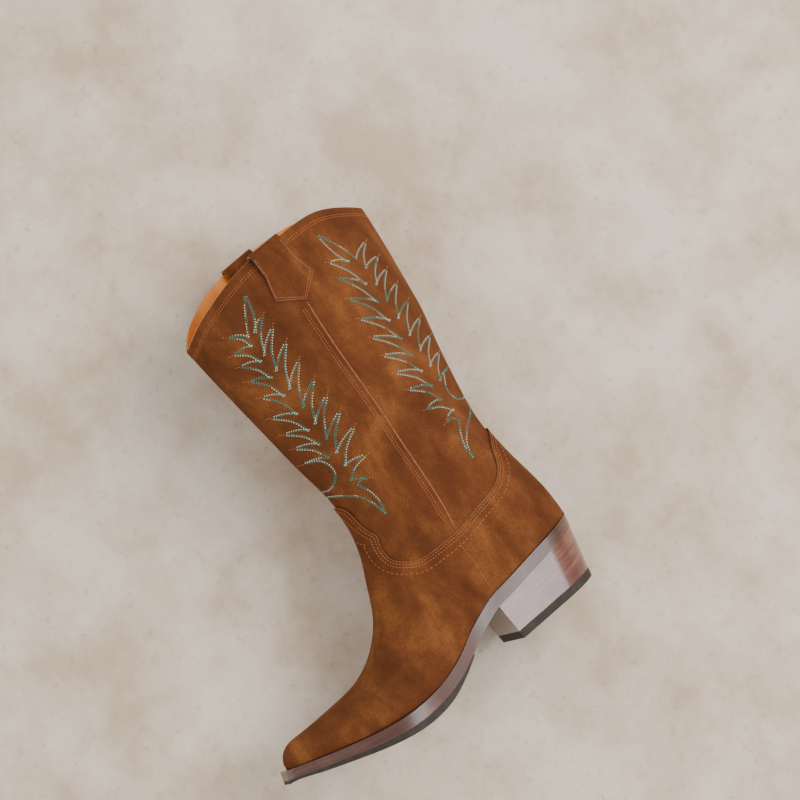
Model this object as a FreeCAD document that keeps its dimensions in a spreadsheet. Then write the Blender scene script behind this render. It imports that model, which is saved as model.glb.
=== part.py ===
"""Western boot for a left foot, modelled standing on its heel and ball.

Frame: millimetres, +Z up, toe towards -Y, outer (lateral) side of the foot towards +X,
origin at the centre of the bounding box on the ground.  Along the boot most values are
"distances": millimetres ahead of the back edge of the heel base, towards the toe.
"""
import FreeCAD, Part
import Sketcher
import math
import os
from FreeCAD import Placement, Rotation, Vector

# Driving dimensions.  Every cell of the sheet is one independent size in millimetres,
# except the counts and the shape exponents, which have no unit.
SIZES = {
    # sole, seen from below and from the side
    "sole_length": 280.0,       # rounded back of the seat to the cut-off tip of the toe
    "ball_width": 93.0,         # widest place of the outsole
    "waist_width": 57.0,        # narrowest place, under the arch
    "seat_width": 62.0,         # round heel seat
    "snip_width": 22.0,         # straight cut across the toe
    "toe_swing": 8.0,           # the toe turns in by this much from the heel's centre line
    "seat_height": 47.8,        # top of the sole at the very back
    "seat_fall": 9.4,           # how much lower that is at the heel breast
    "toe_rise": 23.0,           # top of the sole at the toe above its place at the ball
    "welt_thickness": 3.6,
    "outsole_thickness": 5.7,
    "outsole_toe": 3.6,         # the outsole thins to this at the tip
    "half_sole_thickness": 5.5,  # rubber under the ball
    "half_sole_toe": 2.2,       # the same rubber at the toe
    "welt_overhang": 4.6,       # sole edge outside the upper, forepart
    "seat_overhang": 1.4,       # sole edge outside the upper, round the heel
    "welt_grip": 6.0,           # how far the welt reaches in under the upper
    # heel
    "heel_base_length": 75.0,
    "heel_base_width": 57.0,
    "heel_back_rake": 13.5,     # the seat stands this far behind the heel base
    "top_lift_thickness": 6.2,
    "lift_count": 5,
    "nail_diameter": 2.4,
    "nail_bite": 4.0,           # how far the nails go into the outsole
    "nail_inset": 13.0,         # nail line inside the edge of the heel base
    # inside
    "insole_thickness": 2.6,
    "sock_thickness": 1.5,
    "shank_width": 13.0,
    "shank_thickness": 1.4,
    "shank_start": 34.0,        # distances of the shank's two ends
    "shank_end": 146.0,
    # upper
    "overlay_thickness": 1.4,   # vamp and counter leather
    "shaft_thickness": 1.5,     # shaft leather, toe box, counter stiffener
    "lining_thickness": 1.0,
    "instep_height": 83.0,      # front line above the sole where the foot meets the leg
    "ankle_height": 190.0,
    "rim_height": 335.5,
    "front_dip": 25.0,
    "back_dip": 27.0,
    "shaft_depth": 171.0,       # front fold to back fold at the top
    "shaft_width": 88.0,
    "ankle_width": 65.0,
    "leg_centre": 46.0,         # distance of the middle of the leg
    "lap": 8.0,                 # shaft leather tucked under the vamp and the counter
    "toe_box_length": 52.0,
    "counter_reach": 60.0,      # distance to which the stiffener comes forward
    "piping_width": 3.4,
    "piping_height": 1.1,
    # pull straps
    "strap_width": 26.0,
    "strap_tab_width": 36.0,
    "strap_drop": 47.5,         # rim to the point of the outer tab
    "strap_inner_drop": 30.0,
    "strap_thickness": 1.6,
    "strap_gap": 0.9,           # free height between the rim and the strap
    "strap_stand_off": 3.4,     # how far the loop stands away from the wall
}

SIDE_REACH = 90.0               # half-width of the cutting prisms, wider than any part
BELOW_FEATHER = 9.0             # the closed form goes on this far under the sole's top
POINTS_PER_SIDE = 12            # points of one section, front fold to back fold
TOE_RAKE = 0.36                 # the cut-off toe's edge leans forward by this share of its depth
WALL_BITE = 0.2                 # straps start this deep in the wall and are cut back
SNIP_CORNER = 2.5               # cut off the two corners of the toe
TAB_SHOULDER = 12.5             # widest place of the strap's tab above its point
STRAP_NECK = 17.5               # the strap widens to its tab from this far below the rim
STRAP_STEPS = 26                # places along the strap that its two faces pass through


def smooth(value):
    """Ease from 0 to 1."""
    value = min(1.0, max(0.0, value))
    return value * value * (3.0 - 2.0 * value)


def curve_through(knots, value):
    """Monotone cubic through (x, y) pairs, held level past its ends."""
    if value <= knots[0][0]:
        return knots[0][1]
    if value >= knots[-1][0]:
        return knots[-1][1]
    steps = [(b[1] - a[1]) / (b[0] - a[0]) for a, b in zip(knots, knots[1:])]
    slopes = [steps[0]]
    for before, after in zip(steps, steps[1:]):
        slopes.append(0.0 if before * after <= 0.0 else 2.0 * before * after / (before + after))
    slopes.append(steps[-1])
    for i, (start, end) in enumerate(zip(knots, knots[1:])):
        if value <= end[0]:
            span = end[0] - start[0]
            u = (value - start[0]) / span
            near = (1.0 + 2.0 * u) * (1.0 - u) ** 2 * start[1] + u * (1.0 - u) ** 2 * span * slopes[i]
            far = u * u * (3.0 - 2.0 * u) * end[1] - u * u * (1.0 - u) * span * slopes[i + 1]
            return near + far
    return knots[-1][1]


# ---------------------------------------------------------------- document and sheet

doc = FreeCAD.newDocument("western_boot")
sheet = doc.addObject("Spreadsheet::Sheet", "sizes")
for row, (alias, value) in enumerate(SIZES.items(), start=1):
    sheet.set("A%d" % row, alias)
    sheet.set("B%d" % row, str(value))
    sheet.setAlias("B%d" % row, alias)
doc.recompute()
size = {alias: float(sheet.get(alias)) for alias in SIZES}

# ---------------------------------------------------------------- derived places

toe_end = size["sole_length"] - size["heel_back_rake"]
seat_back = -size["heel_back_rake"]
breast = size["heel_base_length"]
ball = breast + 0.465 * (toe_end - breast)
stack = size["welt_thickness"] + size["outsole_thickness"]
ball_top = size["half_sole_thickness"] + stack
breast_top = size["seat_height"] - size["seat_fall"]
half_seat = size["seat_width"] / 2.0
strap_top = size["rim_height"] + size["strap_gap"] + size["strap_thickness"]

# Shares of the way from the breast to the ball, and from the ball to the toe.
WAIST_FALL = [(0.0, 1.0), (0.26, 0.70), (0.52, 0.29), (0.76, 0.06), (0.92, 0.008), (1.0, 0.0)]
TOE_LIFT = [(0.0, 0.0), (0.08, 0.008), (0.31, 0.13), (0.62, 0.46), (1.0, 1.0)]


def feather(distance):
    """Height of the sole's top face, where the upper meets it."""
    if distance <= breast:
        share = (distance - seat_back) / (breast - seat_back)
        return size["seat_height"] - size["seat_fall"] * share
    if distance <= ball:
        share = (distance - breast) / (ball - breast)
        return ball_top + (breast_top - ball_top) * curve_through(WAIST_FALL, share)
    share = (distance - ball) / (toe_end - ball)
    return ball_top + size["toe_rise"] * curve_through(TOE_LIFT, share)


def swing(distance):
    """Sideways place of the centre line: straight in the heel, turning in to the toe."""
    share = max(0.0, (distance - breast) / (toe_end - breast))
    return -size["toe_swing"] * share ** 2


def sole_half_width(distance):
    """Half-width of the outsole about its centre line."""
    round_centre = seat_back + half_seat
    if distance <= round_centre:
        return math.sqrt(max(0.0, half_seat ** 2 - (round_centre - distance) ** 2))
    half_waist = size["waist_width"] / 2.0
    half_ball = size["ball_width"] / 2.0
    half_snip = size["snip_width"] / 2.0
    ahead = toe_end - ball
    return curve_through([
        (round_centre, half_seat),
        (round_centre + 24.0, half_seat * 0.995),
        (breast + 10.0, half_waist),
        (breast + 0.55 * (ball - breast), half_waist + 0.42 * (half_ball - half_waist)),
        (ball, half_ball * 0.99),
        (ball + 0.10 * ahead, half_ball),
        (ball + 0.36 * ahead, half_snip + 0.79 * (half_ball - half_snip)),
        (ball + 0.64 * ahead, half_snip + 0.44 * (half_ball - half_snip)),
        (ball + 0.88 * ahead, half_snip + 0.14 * (half_ball - half_snip)),
        (toe_end, half_snip)], distance)


def overhang(distance):
    """How far the sole's edge stands outside the upper."""
    ease = smooth((distance - breast) / (ball - breast))
    return size["seat_overhang"] + (size["welt_overhang"] - size["seat_overhang"]) * ease


rim_front = size["leg_centre"] + 0.4775 * size["shaft_depth"]
rim_back = size["leg_centre"] - 0.5225 * size["shaft_depth"]
toe_reach = toe_end + TOE_RAKE * (size["welt_thickness"] + size["outsole_toe"] + size["half_sole_toe"])
origin_distance = (toe_reach + rim_back) / 2.0


def place(distance, across, height):
    """A point of the boot's frame from its distance, side and height."""
    return Vector(across, origin_distance - distance, height)


# ---------------------------------------------------------------- form of the upper

def rise(distance):
    """Front line of the foot above the sole, as a share of the instep height."""
    ahead = toe_end - ball
    return size["instep_height"] * curve_through([
        (ball - 0.37 * (ball - breast), 1.0),
        (ball - 0.245 * (ball - breast), 0.78),
        (ball - 0.12 * (ball - breast), 0.632),
        (ball + 0.03 * ahead, 0.515),
        (ball + 0.13 * ahead, 0.452),
        (ball + 0.25 * ahead, 0.400),
        (ball + 0.42 * ahead, 0.352),
        (ball + 0.60 * ahead, 0.292),
        (ball + 0.80 * ahead, 0.225),
        (toe_end - 5.0, 0.165)], distance)


# The toe closes over these distances behind its tip: share of the width, share of the rise.
NOSE = [(0.0, 0.50, 0.34), (0.7, 0.70, 0.46), (2.0, 0.85, 0.62),
        (4.5, 0.955, 0.80), (8.5, 1.0, 0.94), (14.0, 1.0, 1.0)]


def wall_station(front, back, half_width, fullness, sharp_front, sharp_back):
    """One section of the form as a plain record."""
    return {"front": front, "back": back, "half_width": half_width, "fullness": fullness,
            "sharp_front": sharp_front, "sharp_back": sharp_back}


def width_share(station, angle):
    """Half-width at an angle of a section as a share of its half-width at 90 degrees."""
    sharp = station["sharp_front"] if angle < math.pi / 2.0 else station["sharp_back"]
    return math.sin(angle) ** sharp * (1.0 - station["fullness"] * math.cos(angle))


def angle_at(share):
    """Angle of the point that lies this share of the way from front to back."""
    return math.acos(1.0 - 2.0 * min(1.0, max(0.0, share)))


def tie_to_sole(station):
    """Set a section's width so that it meets the sole inside the sole's edge."""
    front, back = station["front"], station["back"]
    low, high = 0.0, 1.0
    for _ in range(40):
        middle = (low + high) / 2.0
        distance = front[0] + (back[0] - front[0]) * middle
        height = front[1] + (back[1] - front[1]) * middle
        if height > feather(distance):
            low = middle
        else:
            high = middle
    distance = front[0] + (back[0] - front[0]) * low
    wanted = sole_half_width(distance) - overhang(distance)
    station["half_width"] = wanted / width_share(station, angle_at(low))
    return station


def foot_stations():
    """Upright sections from the toe's tip back to the ball."""
    tip = toe_end - size["welt_overhang"] - 1.0
    stations = []
    for behind, wide, tall in NOSE:
        distance = tip - behind
        top = feather(distance) + rise(distance) * tall
        station = wall_station((distance, top), (distance, feather(distance) - BELOW_FEATHER),
                               0.0, 0.22, 1.0, 0.62)
        tie_to_sole(station)
        station["half_width"] *= wide
        stations.append(station)
    for share in (0.78, 0.62, 0.46, 0.32, 0.20, 0.08):
        distance = ball + share * (toe_end - ball)
        station = wall_station((distance, feather(distance) + rise(distance)),
                               (distance, feather(distance) - BELOW_FEATHER),
                               0.0, 0.24, 1.06, 0.68)
        stations.append(tie_to_sole(station))
    return stations


def leaning_stations():
    """Sections that fan round the instep, from the ball to the level sections of the leg."""
    ankle = size["ankle_height"]
    half_ankle = size["ankle_width"] / 2.0
    ahead = ball - breast
    low_front = ball - 0.37 * ahead
    corner = feather(low_front) + size["instep_height"]
    front_line = [(corner, low_front), (corner + 13.0, low_front - 7.0),
                  (corner + 26.0, low_front - 12.0), (corner + 42.0, low_front - 15.6),
                  (corner + 60.0, low_front - 16.2), (ankle, low_front - 13.5)]

    def front_at(height):
        return (curve_through(front_line, height), height)

    def sole_point(distance, depth=BELOW_FEATHER):
        return (distance, feather(distance) - depth)

    def on_front(distance):
        return (distance, feather(distance) + rise(distance))

    back = seat_back
    seat = size["seat_height"]
    tied = [
        wall_station(on_front(ball - 0.04 * ahead), sole_point(ball - 0.13 * ahead), 0, 0.24, 1.12, 0.70),
        wall_station(on_front(ball - 0.16 * ahead), sole_point(ball - 0.42 * ahead), 0, 0.22, 1.16, 0.74),
        wall_station(on_front(ball - 0.27 * ahead), sole_point(ball - 0.80 * ahead), 0, 0.18, 1.18, 0.78),
        wall_station(front_at(corner), sole_point(breast - 24.0, 15.0), 0, 0.12, 1.20, 0.74),
        wall_station(front_at(corner + 13.0), sole_point(breast - 62.0, 20.0), 0, 0.10, 1.15, 0.66),
    ]
    for station in tied:
        tie_to_sole(station)
    span = ankle - seat
    free = [
        wall_station(front_at(corner + 24.0), (back + 5.5, seat - 8.5), half_ankle * 1.0, 0.06, 1.12, 0.56),
        wall_station(front_at(corner + 33.0), (back + 1.8, seat + 0.06 * span),
                     half_ankle * 0.99, 0.02, 1.14, 0.60),
        wall_station(front_at(corner + 43.0), (back + 1.2, seat + 0.17 * span),
                     half_ankle * 0.99, 0.0, 1.18, 0.68),
        wall_station(front_at(corner + 53.0), (back + 3.4, seat + 0.335 * span),
                     half_ankle, 0.0, 1.22, 0.80),
        wall_station(front_at(corner + 63.0), (back + 5.4, seat + 0.51 * span),
                     half_ankle * 1.02, 0.0, 1.25, 0.94),
        wall_station(front_at(corner + 74.0), (back + 4.3, seat + 0.68 * span),
                     half_ankle * 1.05, 0.0, 1.30, 1.12),
        wall_station(front_at(corner + 84.0), (back - 0.4, seat + 0.85 * span),
                     half_ankle * 1.10, 0.0, 1.36, 1.26),
    ]
    return tied + free


def leg_stations():
    """Level sections from the ankle to just above the rim."""
    ankle = size["ankle_height"]
    leg = size["rim_height"] - ankle
    half_shaft = size["shaft_width"] / 2.0
    half_ankle = size["ankle_width"] / 2.0
    ankle_front = (ball - 0.37 * (ball - breast)) - 12.6
    stations = []
    for share, forward, backward, fill in ((0.08, 0.05, 0.16, 0.42), (0.22, 0.22, 0.39, 0.60),
                                           (0.38, 0.42, 0.57, 0.75), (0.56, 0.63, 0.74, 0.88),
                                           (0.74, 0.82, 0.89, 0.96), (0.90, 0.96, 1.0, 1.0),
                                           (1.0, 1.03, 1.09, 1.0), (1.10, 1.08, 1.17, 1.0)):
        height = ankle + leg * share
        front = ankle_front + (rim_front - ankle_front) * forward
        rear = (seat_back - 4.4) + (rim_back - seat_back + 4.4) * backward
        half_width = half_ankle * 1.1 + (half_shaft - half_ankle * 1.1) * fill
        sharp = 1.38 + 0.22 * share
        stations.append(wall_station((front, height), (rear, height), half_width, 0.0, sharp, sharp))
    return stations


def inset_station(station, inset):
    """The same section drawn inside the first by a wall; a negative inset lies outside."""
    front, back = station["front"], station["back"]
    length = math.hypot(back[0] - front[0], back[1] - front[1])
    along = ((back[0] - front[0]) / length, (back[1] - front[1]) / length)
    ease = 1.0 + 0.35 * max(0.0, station["sharp_front"] - 1.0)
    result = dict(station)
    result["front"] = (front[0] + along[0] * inset * ease, front[1] + along[1] * inset * ease)
    result["back"] = (back[0] - along[0] * inset * ease, back[1] - along[1] * inset * ease)
    result["half_width"] = station["half_width"] - inset
    return result


def station_point(station, angle, side):
    """Point of a section at an angle from the front fold, on the outer or inner side."""
    front, back = station["front"], station["back"]
    share = (1.0 - math.cos(angle)) / 2.0
    distance = front[0] + (back[0] - front[0]) * share
    height = front[1] + (back[1] - front[1]) * share
    across = swing(distance) + side * station["half_width"] * width_share(station, angle)
    return place(distance, across, height)


def form_stations(inset):
    """All sections of the form, drawn in by inset, with the toe's tip moved back to match."""
    stations = [inset_station(station, inset)
                for station in foot_stations() + leaning_stations() + leg_stations()]
    nose = len(NOSE)
    for index in range(nose):
        station = stations[index]
        share = 1.0 - index / float(nose)
        station["front"] = (station["front"][0] - inset * share, station["front"][1])
        station["back"] = (station["back"][0] - inset * share, station["back"][1])
    top = stations[-1]
    top["front"] = (top["front"][0], top["front"][1] + 1.0 + abs(inset) + inset)
    top["back"] = (top["back"][0], top["back"][1] + 1.0 + abs(inset) + inset)
    return stations


def form_solid(inset):
    """Closed solid of the boot's form, from the toe's tip to above the rim."""
    stations = form_stations(inset)
    count = 2 * POINTS_PER_SIDE
    even = [i / float(count) for i in range(count + 1)]
    rings = []
    for station in stations:
        loop = [station_point(station, math.pi * i / POINTS_PER_SIDE, 1)
                for i in range(POINTS_PER_SIDE)]
        loop += [station_point(station, math.pi * (1.0 - i / float(POINTS_PER_SIDE)), -1)
                 for i in range(POINTS_PER_SIDE)]
        ring = Part.BSplineCurve()
        ring.interpolate(Points=loop, PeriodicFlag=True, Parameters=even)
        rings.append(ring)
    along = [0.0]
    for before, after in zip(stations, stations[1:]):
        step = math.hypot((before["front"][0] + before["back"][0] - after["front"][0] - after["back"][0]) / 2.0,
                          (before["front"][1] + before["back"][1] - after["front"][1] - after["back"][1]) / 2.0)
        along.append(along[-1] + step)
    pole_rows = [ring.getPoles() for ring in rings]
    columns = []
    for k in range(len(pole_rows[0])):
        line = Part.BSplineCurve()
        line.interpolate(Points=[row[k] for row in pole_rows], Parameters=along)
        columns.append(line)
    first = columns[0]
    poles = [[column.getPole(i + 1) for column in columns] for i in range(first.NbPoles)]
    surface = Part.BSplineSurface()
    surface.buildFromPolesMultsKnots(poles, first.getMultiplicities(), rings[0].getMultiplicities(),
                                     first.getKnots(), rings[0].getKnots(), False, True,
                                     first.Degree, rings[0].Degree)
    wall = surface.toShape()
    ends = [edge for edge in wall.Edges if edge.isClosed()]
    caps = [Part.Face(Part.Wire([edge])) for edge in ends]
    shell = Part.Shell([wall] + caps)
    shell.sewShape()
    solid = Part.Solid(shell)
    solid.fix(1e-6, 1e-6, 1e-4)
    return solid


# ---------------------------------------------------------------- helpers for the document

def keep(shape, name):
    """Put a shape that no feature type can make into the document."""
    feature = doc.addObject("Part::Feature", name)
    feature.Shape = shape
    return feature


def common(name, base, tool):
    """Document object holding what the two features share."""
    result = doc.addObject("Part::Common", name)
    result.Base = base
    result.Tool = tool
    return result


def cut(name, base, tool):
    """Document object holding the base without the tool."""
    result = doc.addObject("Part::Cut", name)
    result.Base = base
    result.Tool = tool
    return result


def group(name, features):
    """Document object holding several separate solids."""
    result = doc.addObject("Part::Compound", name)
    result.Links = list(features)
    return result


def spline(points):
    """Edge through (distance, height) points in the side view."""
    curve = Part.BSplineCurve()
    curve.interpolate([place(distance, -SIDE_REACH, height) for distance, height in points])
    return curve.toShape()


def side_prism(edges, name):
    """Prism right across the boot over a closed outline drawn in the side view."""
    face = Part.Face(Part.Wire(Part.__sortEdges__(edges)))
    return keep(face.extrude(Vector(2.0 * SIDE_REACH, 0, 0)), name)


def line(start, end):
    """Straight edge between two (distance, height) points in the side view."""
    return Part.LineSegment(place(start[0], -SIDE_REACH, start[1]),
                            place(end[0], -SIDE_REACH, end[1])).toShape()


def side_polygon(points, name):
    """Prism over a straight-sided outline in the side view."""
    closed = list(points) + [points[0]]
    return side_prism([line(a, b) for a, b in zip(closed, closed[1:])], name)


def region_under(points, floor, name):
    """Prism under a curve that runs from front to back, down to a level floor."""
    front, back = points[0], points[-1]
    return side_prism([spline(points), line(back, (back[0], floor)),
                       line((back[0], floor), (front[0], floor)), line((front[0], floor), front)], name)


# ---------------------------------------------------------------- sole

FAR_BACK = -60.0                # distances well past both ends of the boot
FAR_AHEAD = toe_end + 30.0
SKY = size["rim_height"] + 60.0

FEATHER_STEPS = ([FAR_BACK, seat_back, 10.0, 40.0, breast - 12.0, breast]
                 + [breast + (ball - breast) * k / 6.0 for k in range(1, 7)]
                 + [ball + (toe_end - ball) * k / 7.0 for k in range(1, 8)] + [FAR_AHEAD])


def sole_depth(distance):
    """Depth of the outsole's lower face under the sole's top face, thinning to the toe."""
    ease = smooth((distance - ball) / (toe_end - ball))
    return stack + (size["outsole_toe"] - size["outsole_thickness"]) * ease


def feather_points(drop):
    """The sole's top line in the side view, lowered by drop: a number or a function."""
    if callable(drop):
        return [(distance, feather(distance) - drop(distance)) for distance in FEATHER_STEPS]
    return [(distance, feather(distance) - drop) for distance in FEATHER_STEPS]


def band(upper_drop, lower_drop, name):
    """Prism between two copies of the sole's top line."""
    upper, lower = feather_points(upper_drop), feather_points(lower_drop)
    return side_prism([spline(upper), spline(lower), line(upper[0], lower[0]),
                       line(upper[-1], lower[-1])], name)


def outline_wire(height, margin):
    """Outline of the sole at a height: round seat, swinging sides, cut-off toe."""
    share = height / size["seat_height"]
    base_half = size["heel_base_width"] / 2.0
    back = -size["heel_back_rake"] * share - margin
    radius = base_half + (half_seat - base_half) * share + margin
    centre = back + radius
    tip = toe_end + TOE_RAKE * (feather(toe_end) - height) + margin
    seat_change = radius - margin - half_seat
    fixed = seat_back + half_seat
    sides = []
    for side in (1, -1):
        points = [place(centre, side * radius, height)]
        for k in range(1, 15):
            distance = fixed + (toe_end - fixed) * k / 15.0
            fade = 1.0 - smooth((distance - fixed) / (breast - fixed))
            half = max(1.2, sole_half_width(distance) + margin + seat_change * fade)
            stretch = (distance - fixed) / (toe_end - fixed)
            moved = centre + (tip - SNIP_CORNER - centre) * stretch
            points.append(place(moved, swing(distance) + side * half, height))
        half = max(1.2, size["snip_width"] / 2.0 + margin)
        points.append(place(tip - SNIP_CORNER, swing(toe_end) + side * half, height))
        curve = Part.BSplineCurve()
        curve.interpolate(points)
        sides.append((curve.toShape(), points[-1]))
    flat = max(0.6, size["snip_width"] / 2.0 + margin - SNIP_CORNER)
    blunt = [place(tip, swing(toe_end) + side * flat, height) for side in (1, -1)]
    arc = Part.Arc(place(centre, radius, height), place(back, 0, height),
                   place(centre, -radius, height)).toShape()
    corners = [Part.LineSegment(sides[0][1], blunt[0]).toShape(),
               Part.LineSegment(blunt[0], blunt[1]).toShape(),
               Part.LineSegment(blunt[1], sides[1][1]).toShape()]
    return Part.Wire([arc, sides[0][0]] + corners + [sides[1][0]])


def outline_prism(margin, name):
    """Column over the sole's outline, leaning back with the heel."""
    low, high = -6.0, size["seat_height"] + 12.0
    wires = [outline_wire(low, margin), outline_wire(high, margin)]
    return keep(Part.makeLoft(wires, True, True), name)


outline = outline_prism(0.0, "outline_column")
inner_outline = outline_prism(-size["welt_overhang"] - size["welt_grip"], "filler_column")
behind_breast = side_polygon([(FAR_BACK, -20.0), (breast, -20.0), (breast, SKY), (FAR_BACK, SKY)],
                             "behind_breast")

welt_band = band(0.0, size["welt_thickness"], "welt_band")
outsole_band = band(size["welt_thickness"], sole_depth, "outsole_band")
welt_layer = common("welt_layer", outline, welt_band)

shank_box = doc.addObject("Part::Box", "shank_box")
shank_box.setExpression("Length", "sizes.shank_width")
shank_box.setExpression("Width", "sizes.shank_end - sizes.shank_start")
shank_box.setExpression("Height", "2 * sizes.seat_height")
shank_box.setExpression("Placement.Base.x", "-sizes.shank_width / 2")
shank_box.setExpression("Placement.Base.y", "%f - sizes.shank_end" % origin_distance)
shank = common("shank", shank_box, band(0.0, size["shank_thickness"], "shank_band"))

seat_layer = common("seat_layer", welt_layer, behind_breast)
front_layer = cut("front_layer", welt_layer, behind_breast)
heel_rand = cut("heel_rand", seat_layer, shank)
welt = cut("welt", front_layer, inner_outline)
filler_blank = common("filler_blank", front_layer, inner_outline)
cork_filler = cut("cork_filler", filler_blank, shank)

half_sole_start = breast + 0.42 * (ball - breast)


def half_sole_depth(distance):
    """Thickness of the forepart rubber: skived at the waist, full under the ball."""
    return curve_through([
        (half_sole_start, 0.9), (half_sole_start + 0.45 * (ball - half_sole_start), 3.6),
        (ball - 12.0, 0.975 * size["half_sole_thickness"]), (ball, size["half_sole_thickness"]),
        (ball + 14.0, 0.975 * size["half_sole_thickness"]),
        (ball + 0.55 * (toe_end - ball), 0.5 * (size["half_sole_thickness"] + size["half_sole_toe"])),
        (toe_end, size["half_sole_toe"])], distance)


half_steps = [half_sole_start + (ball - half_sole_start) * k / 5.0 for k in range(6)]
half_steps += [ball + (FAR_AHEAD - ball) * k / 9.0 for k in range(1, 10)]
half_lower = [(d, feather(d) - sole_depth(d) - half_sole_depth(d)) for d in half_steps]
half_prism = side_prism([spline(half_lower), line(half_lower[0], (half_sole_start, SKY)),
                         line((half_sole_start, SKY), (FAR_AHEAD, SKY)),
                         line((FAR_AHEAD, SKY), half_lower[-1])], "half_sole_side")
half_upper = band(sole_depth, stack + 60.0, "under_outsole")
half_sole_side = common("half_sole_layer", half_prism, half_upper)
half_sole = common("half_sole", outline, half_sole_side)

# ---------------------------------------------------------------- heel

SEAT_SHARE = "((%s + sizes.heel_back_rake) / (sizes.heel_base_length + sizes.heel_back_rake))"


def horseshoe(body, name, level, half_width, back):
    """Sketch of a heel section: straight breast, straight sides, round back."""
    sketch = body.newObject("Sketcher::SketchObject", name)
    plane = [item for item in body.Origin.OriginFeatures if item.Role == "XY_Plane"][0]
    sketch.AttachmentSupport = [(plane, "")]
    sketch.MapMode = "FlatFace"
    sketch.setExpression("AttachmentOffset.Base.z", level)
    centre_y = origin_distance - 15.0
    front_y = origin_distance - 75.0
    sketch.addGeometry(Part.ArcOfCircle(Part.Circle(Vector(0, centre_y, 0), Vector(0, 0, 1), 28.0),
                                        0.0, math.pi))
    sketch.addGeometry(Part.LineSegment(Vector(-28, centre_y, 0), Vector(-28, front_y, 0)))
    sketch.addGeometry(Part.LineSegment(Vector(-28, front_y, 0), Vector(28, front_y, 0)))
    sketch.addGeometry(Part.LineSegment(Vector(28, front_y, 0), Vector(28, centre_y, 0)))
    sketch.addConstraint(Sketcher.Constraint("Tangent", 0, 2, 1, 1))
    sketch.addConstraint(Sketcher.Constraint("Coincident", 1, 2, 2, 1))
    sketch.addConstraint(Sketcher.Constraint("Coincident", 2, 2, 3, 1))
    sketch.addConstraint(Sketcher.Constraint("Tangent", 3, 2, 0, 1))
    sketch.addConstraint(Sketcher.Constraint("Horizontal", 2))
    sketch.addConstraint(Sketcher.Constraint("Vertical", 1))
    sketch.addConstraint(Sketcher.Constraint("PointOnObject", 0, 3, -2))
    radius = sketch.addConstraint(Sketcher.Constraint("Radius", 0, 28.0))
    sketch.setExpression("Constraints[%d]" % radius, half_width)
    centre = sketch.addConstraint(Sketcher.Constraint("DistanceY", -1, 1, 0, 3, centre_y))
    sketch.setExpression("Constraints[%d]" % centre,
                         "%f - (%s) - (%s)" % (origin_distance, back, half_width))
    face_line = sketch.addConstraint(Sketcher.Constraint("DistanceY", -1, 1, 2, 1, front_y))
    sketch.setExpression("Constraints[%d]" % face_line,
                         "%f - sizes.heel_base_length" % origin_distance)
    return sketch


heel_body = doc.addObject("PartDesign::Body", "heel_body")
base_sketch = horseshoe(heel_body, "heel_base", "0", "sizes.heel_base_width / 2", "0")
seat_sketch = horseshoe(heel_body, "heel_seat", "sizes.seat_height", "sizes.seat_width / 2",
                        "-sizes.heel_back_rake")
heel_loft = heel_body.newObject("PartDesign::AdditiveLoft", "heel_loft")
heel_loft.Profile = base_sketch
heel_loft.Sections = [seat_sketch]
heel_loft.Ruled = True
heel_body.Tip = heel_loft

heel_block = common("heel_block", heel_body, half_upper)


def slab(name, low, high):
    """Level box across the whole heel between two heights, given as expressions."""
    box = doc.addObject("Part::Box", name)
    box.setExpression("Length", "2 * sizes.seat_width")
    box.setExpression("Width", "2 * sizes.heel_base_length + 4 * sizes.heel_back_rake")
    box.setExpression("Height", "(%s) - (%s)" % (high, low))
    box.setExpression("Placement.Base.x", "-sizes.seat_width")
    box.setExpression("Placement.Base.y", "%f - 1.5 * sizes.heel_base_length" % origin_distance)
    box.setExpression("Placement.Base.z", low)
    return box


WEDGE_EDGE = 1.5                # thickness of the wedge lift at the heel breast
wedge_low = ("(sizes.seat_height - sizes.seat_fall - sizes.welt_thickness"
             " - sizes.outsole_thickness - %f)" % WEDGE_EDGE)
lift_step = "((%s - sizes.top_lift_thickness) / sizes.lift_count)" % wedge_low

nails = []
nail_arc = size["heel_base_width"] / 2.0 - size["nail_inset"]
nail_places = [(nail_arc * math.sin(math.radians(angle)),
                size["heel_base_width"] / 2.0 - nail_arc * math.cos(math.radians(angle)))
               for angle in (-62.0, 0.0, 62.0)]
nail_places += [(side * nail_arc, breast - size["nail_inset"]) for side in (-1, 1)]
for number, (across, distance) in enumerate(nail_places, start=1):
    nail = doc.addObject("Part::Cylinder", "nail_%d" % number)
    nail.setExpression("Radius", "sizes.nail_diameter / 2")
    share = SEAT_SHARE % ("%f" % distance)
    nail.setExpression("Height", "sizes.seat_height - sizes.seat_fall * %s - sizes.welt_thickness"
                       " - sizes.outsole_thickness + sizes.nail_bite"
                       " - sizes.top_lift_thickness" % share)
    nail.setExpression("Placement.Base.z", "sizes.top_lift_thickness")
    nail.setExpression("Placement.Base.x", "%f" % across)
    nail.setExpression("Placement.Base.y", "%f" % (origin_distance - distance))
    nails.append(nail)
heel_nails = group("heel_nails", nails)

top_lift = common("top_lift", heel_block, slab("top_lift_slab", "0", "sizes.top_lift_thickness"))
lifts = []
for number in range(int(size["lift_count"])):
    low = "sizes.top_lift_thickness + %d * %s" % (number, lift_step)
    high = "sizes.top_lift_thickness + %d * %s" % (number + 1, lift_step)
    blank = common("lift_blank_%d" % (number + 1), heel_block,
                   slab("lift_slab_%d" % (number + 1), low, high))
    lifts.append(cut("heel_lift_%d" % (number + 1), blank, heel_nails))
wedge_blank = common("wedge_blank", heel_block,
                     slab("wedge_slab", wedge_low, "2 * sizes.seat_height"))
heel_wedge = cut("heel_wedge", wedge_blank, heel_nails)
outsole_blank = common("outsole_blank", outline, outsole_band)
outsole = cut("outsole", outsole_blank, heel_nails)

# ---------------------------------------------------------------- upper

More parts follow.
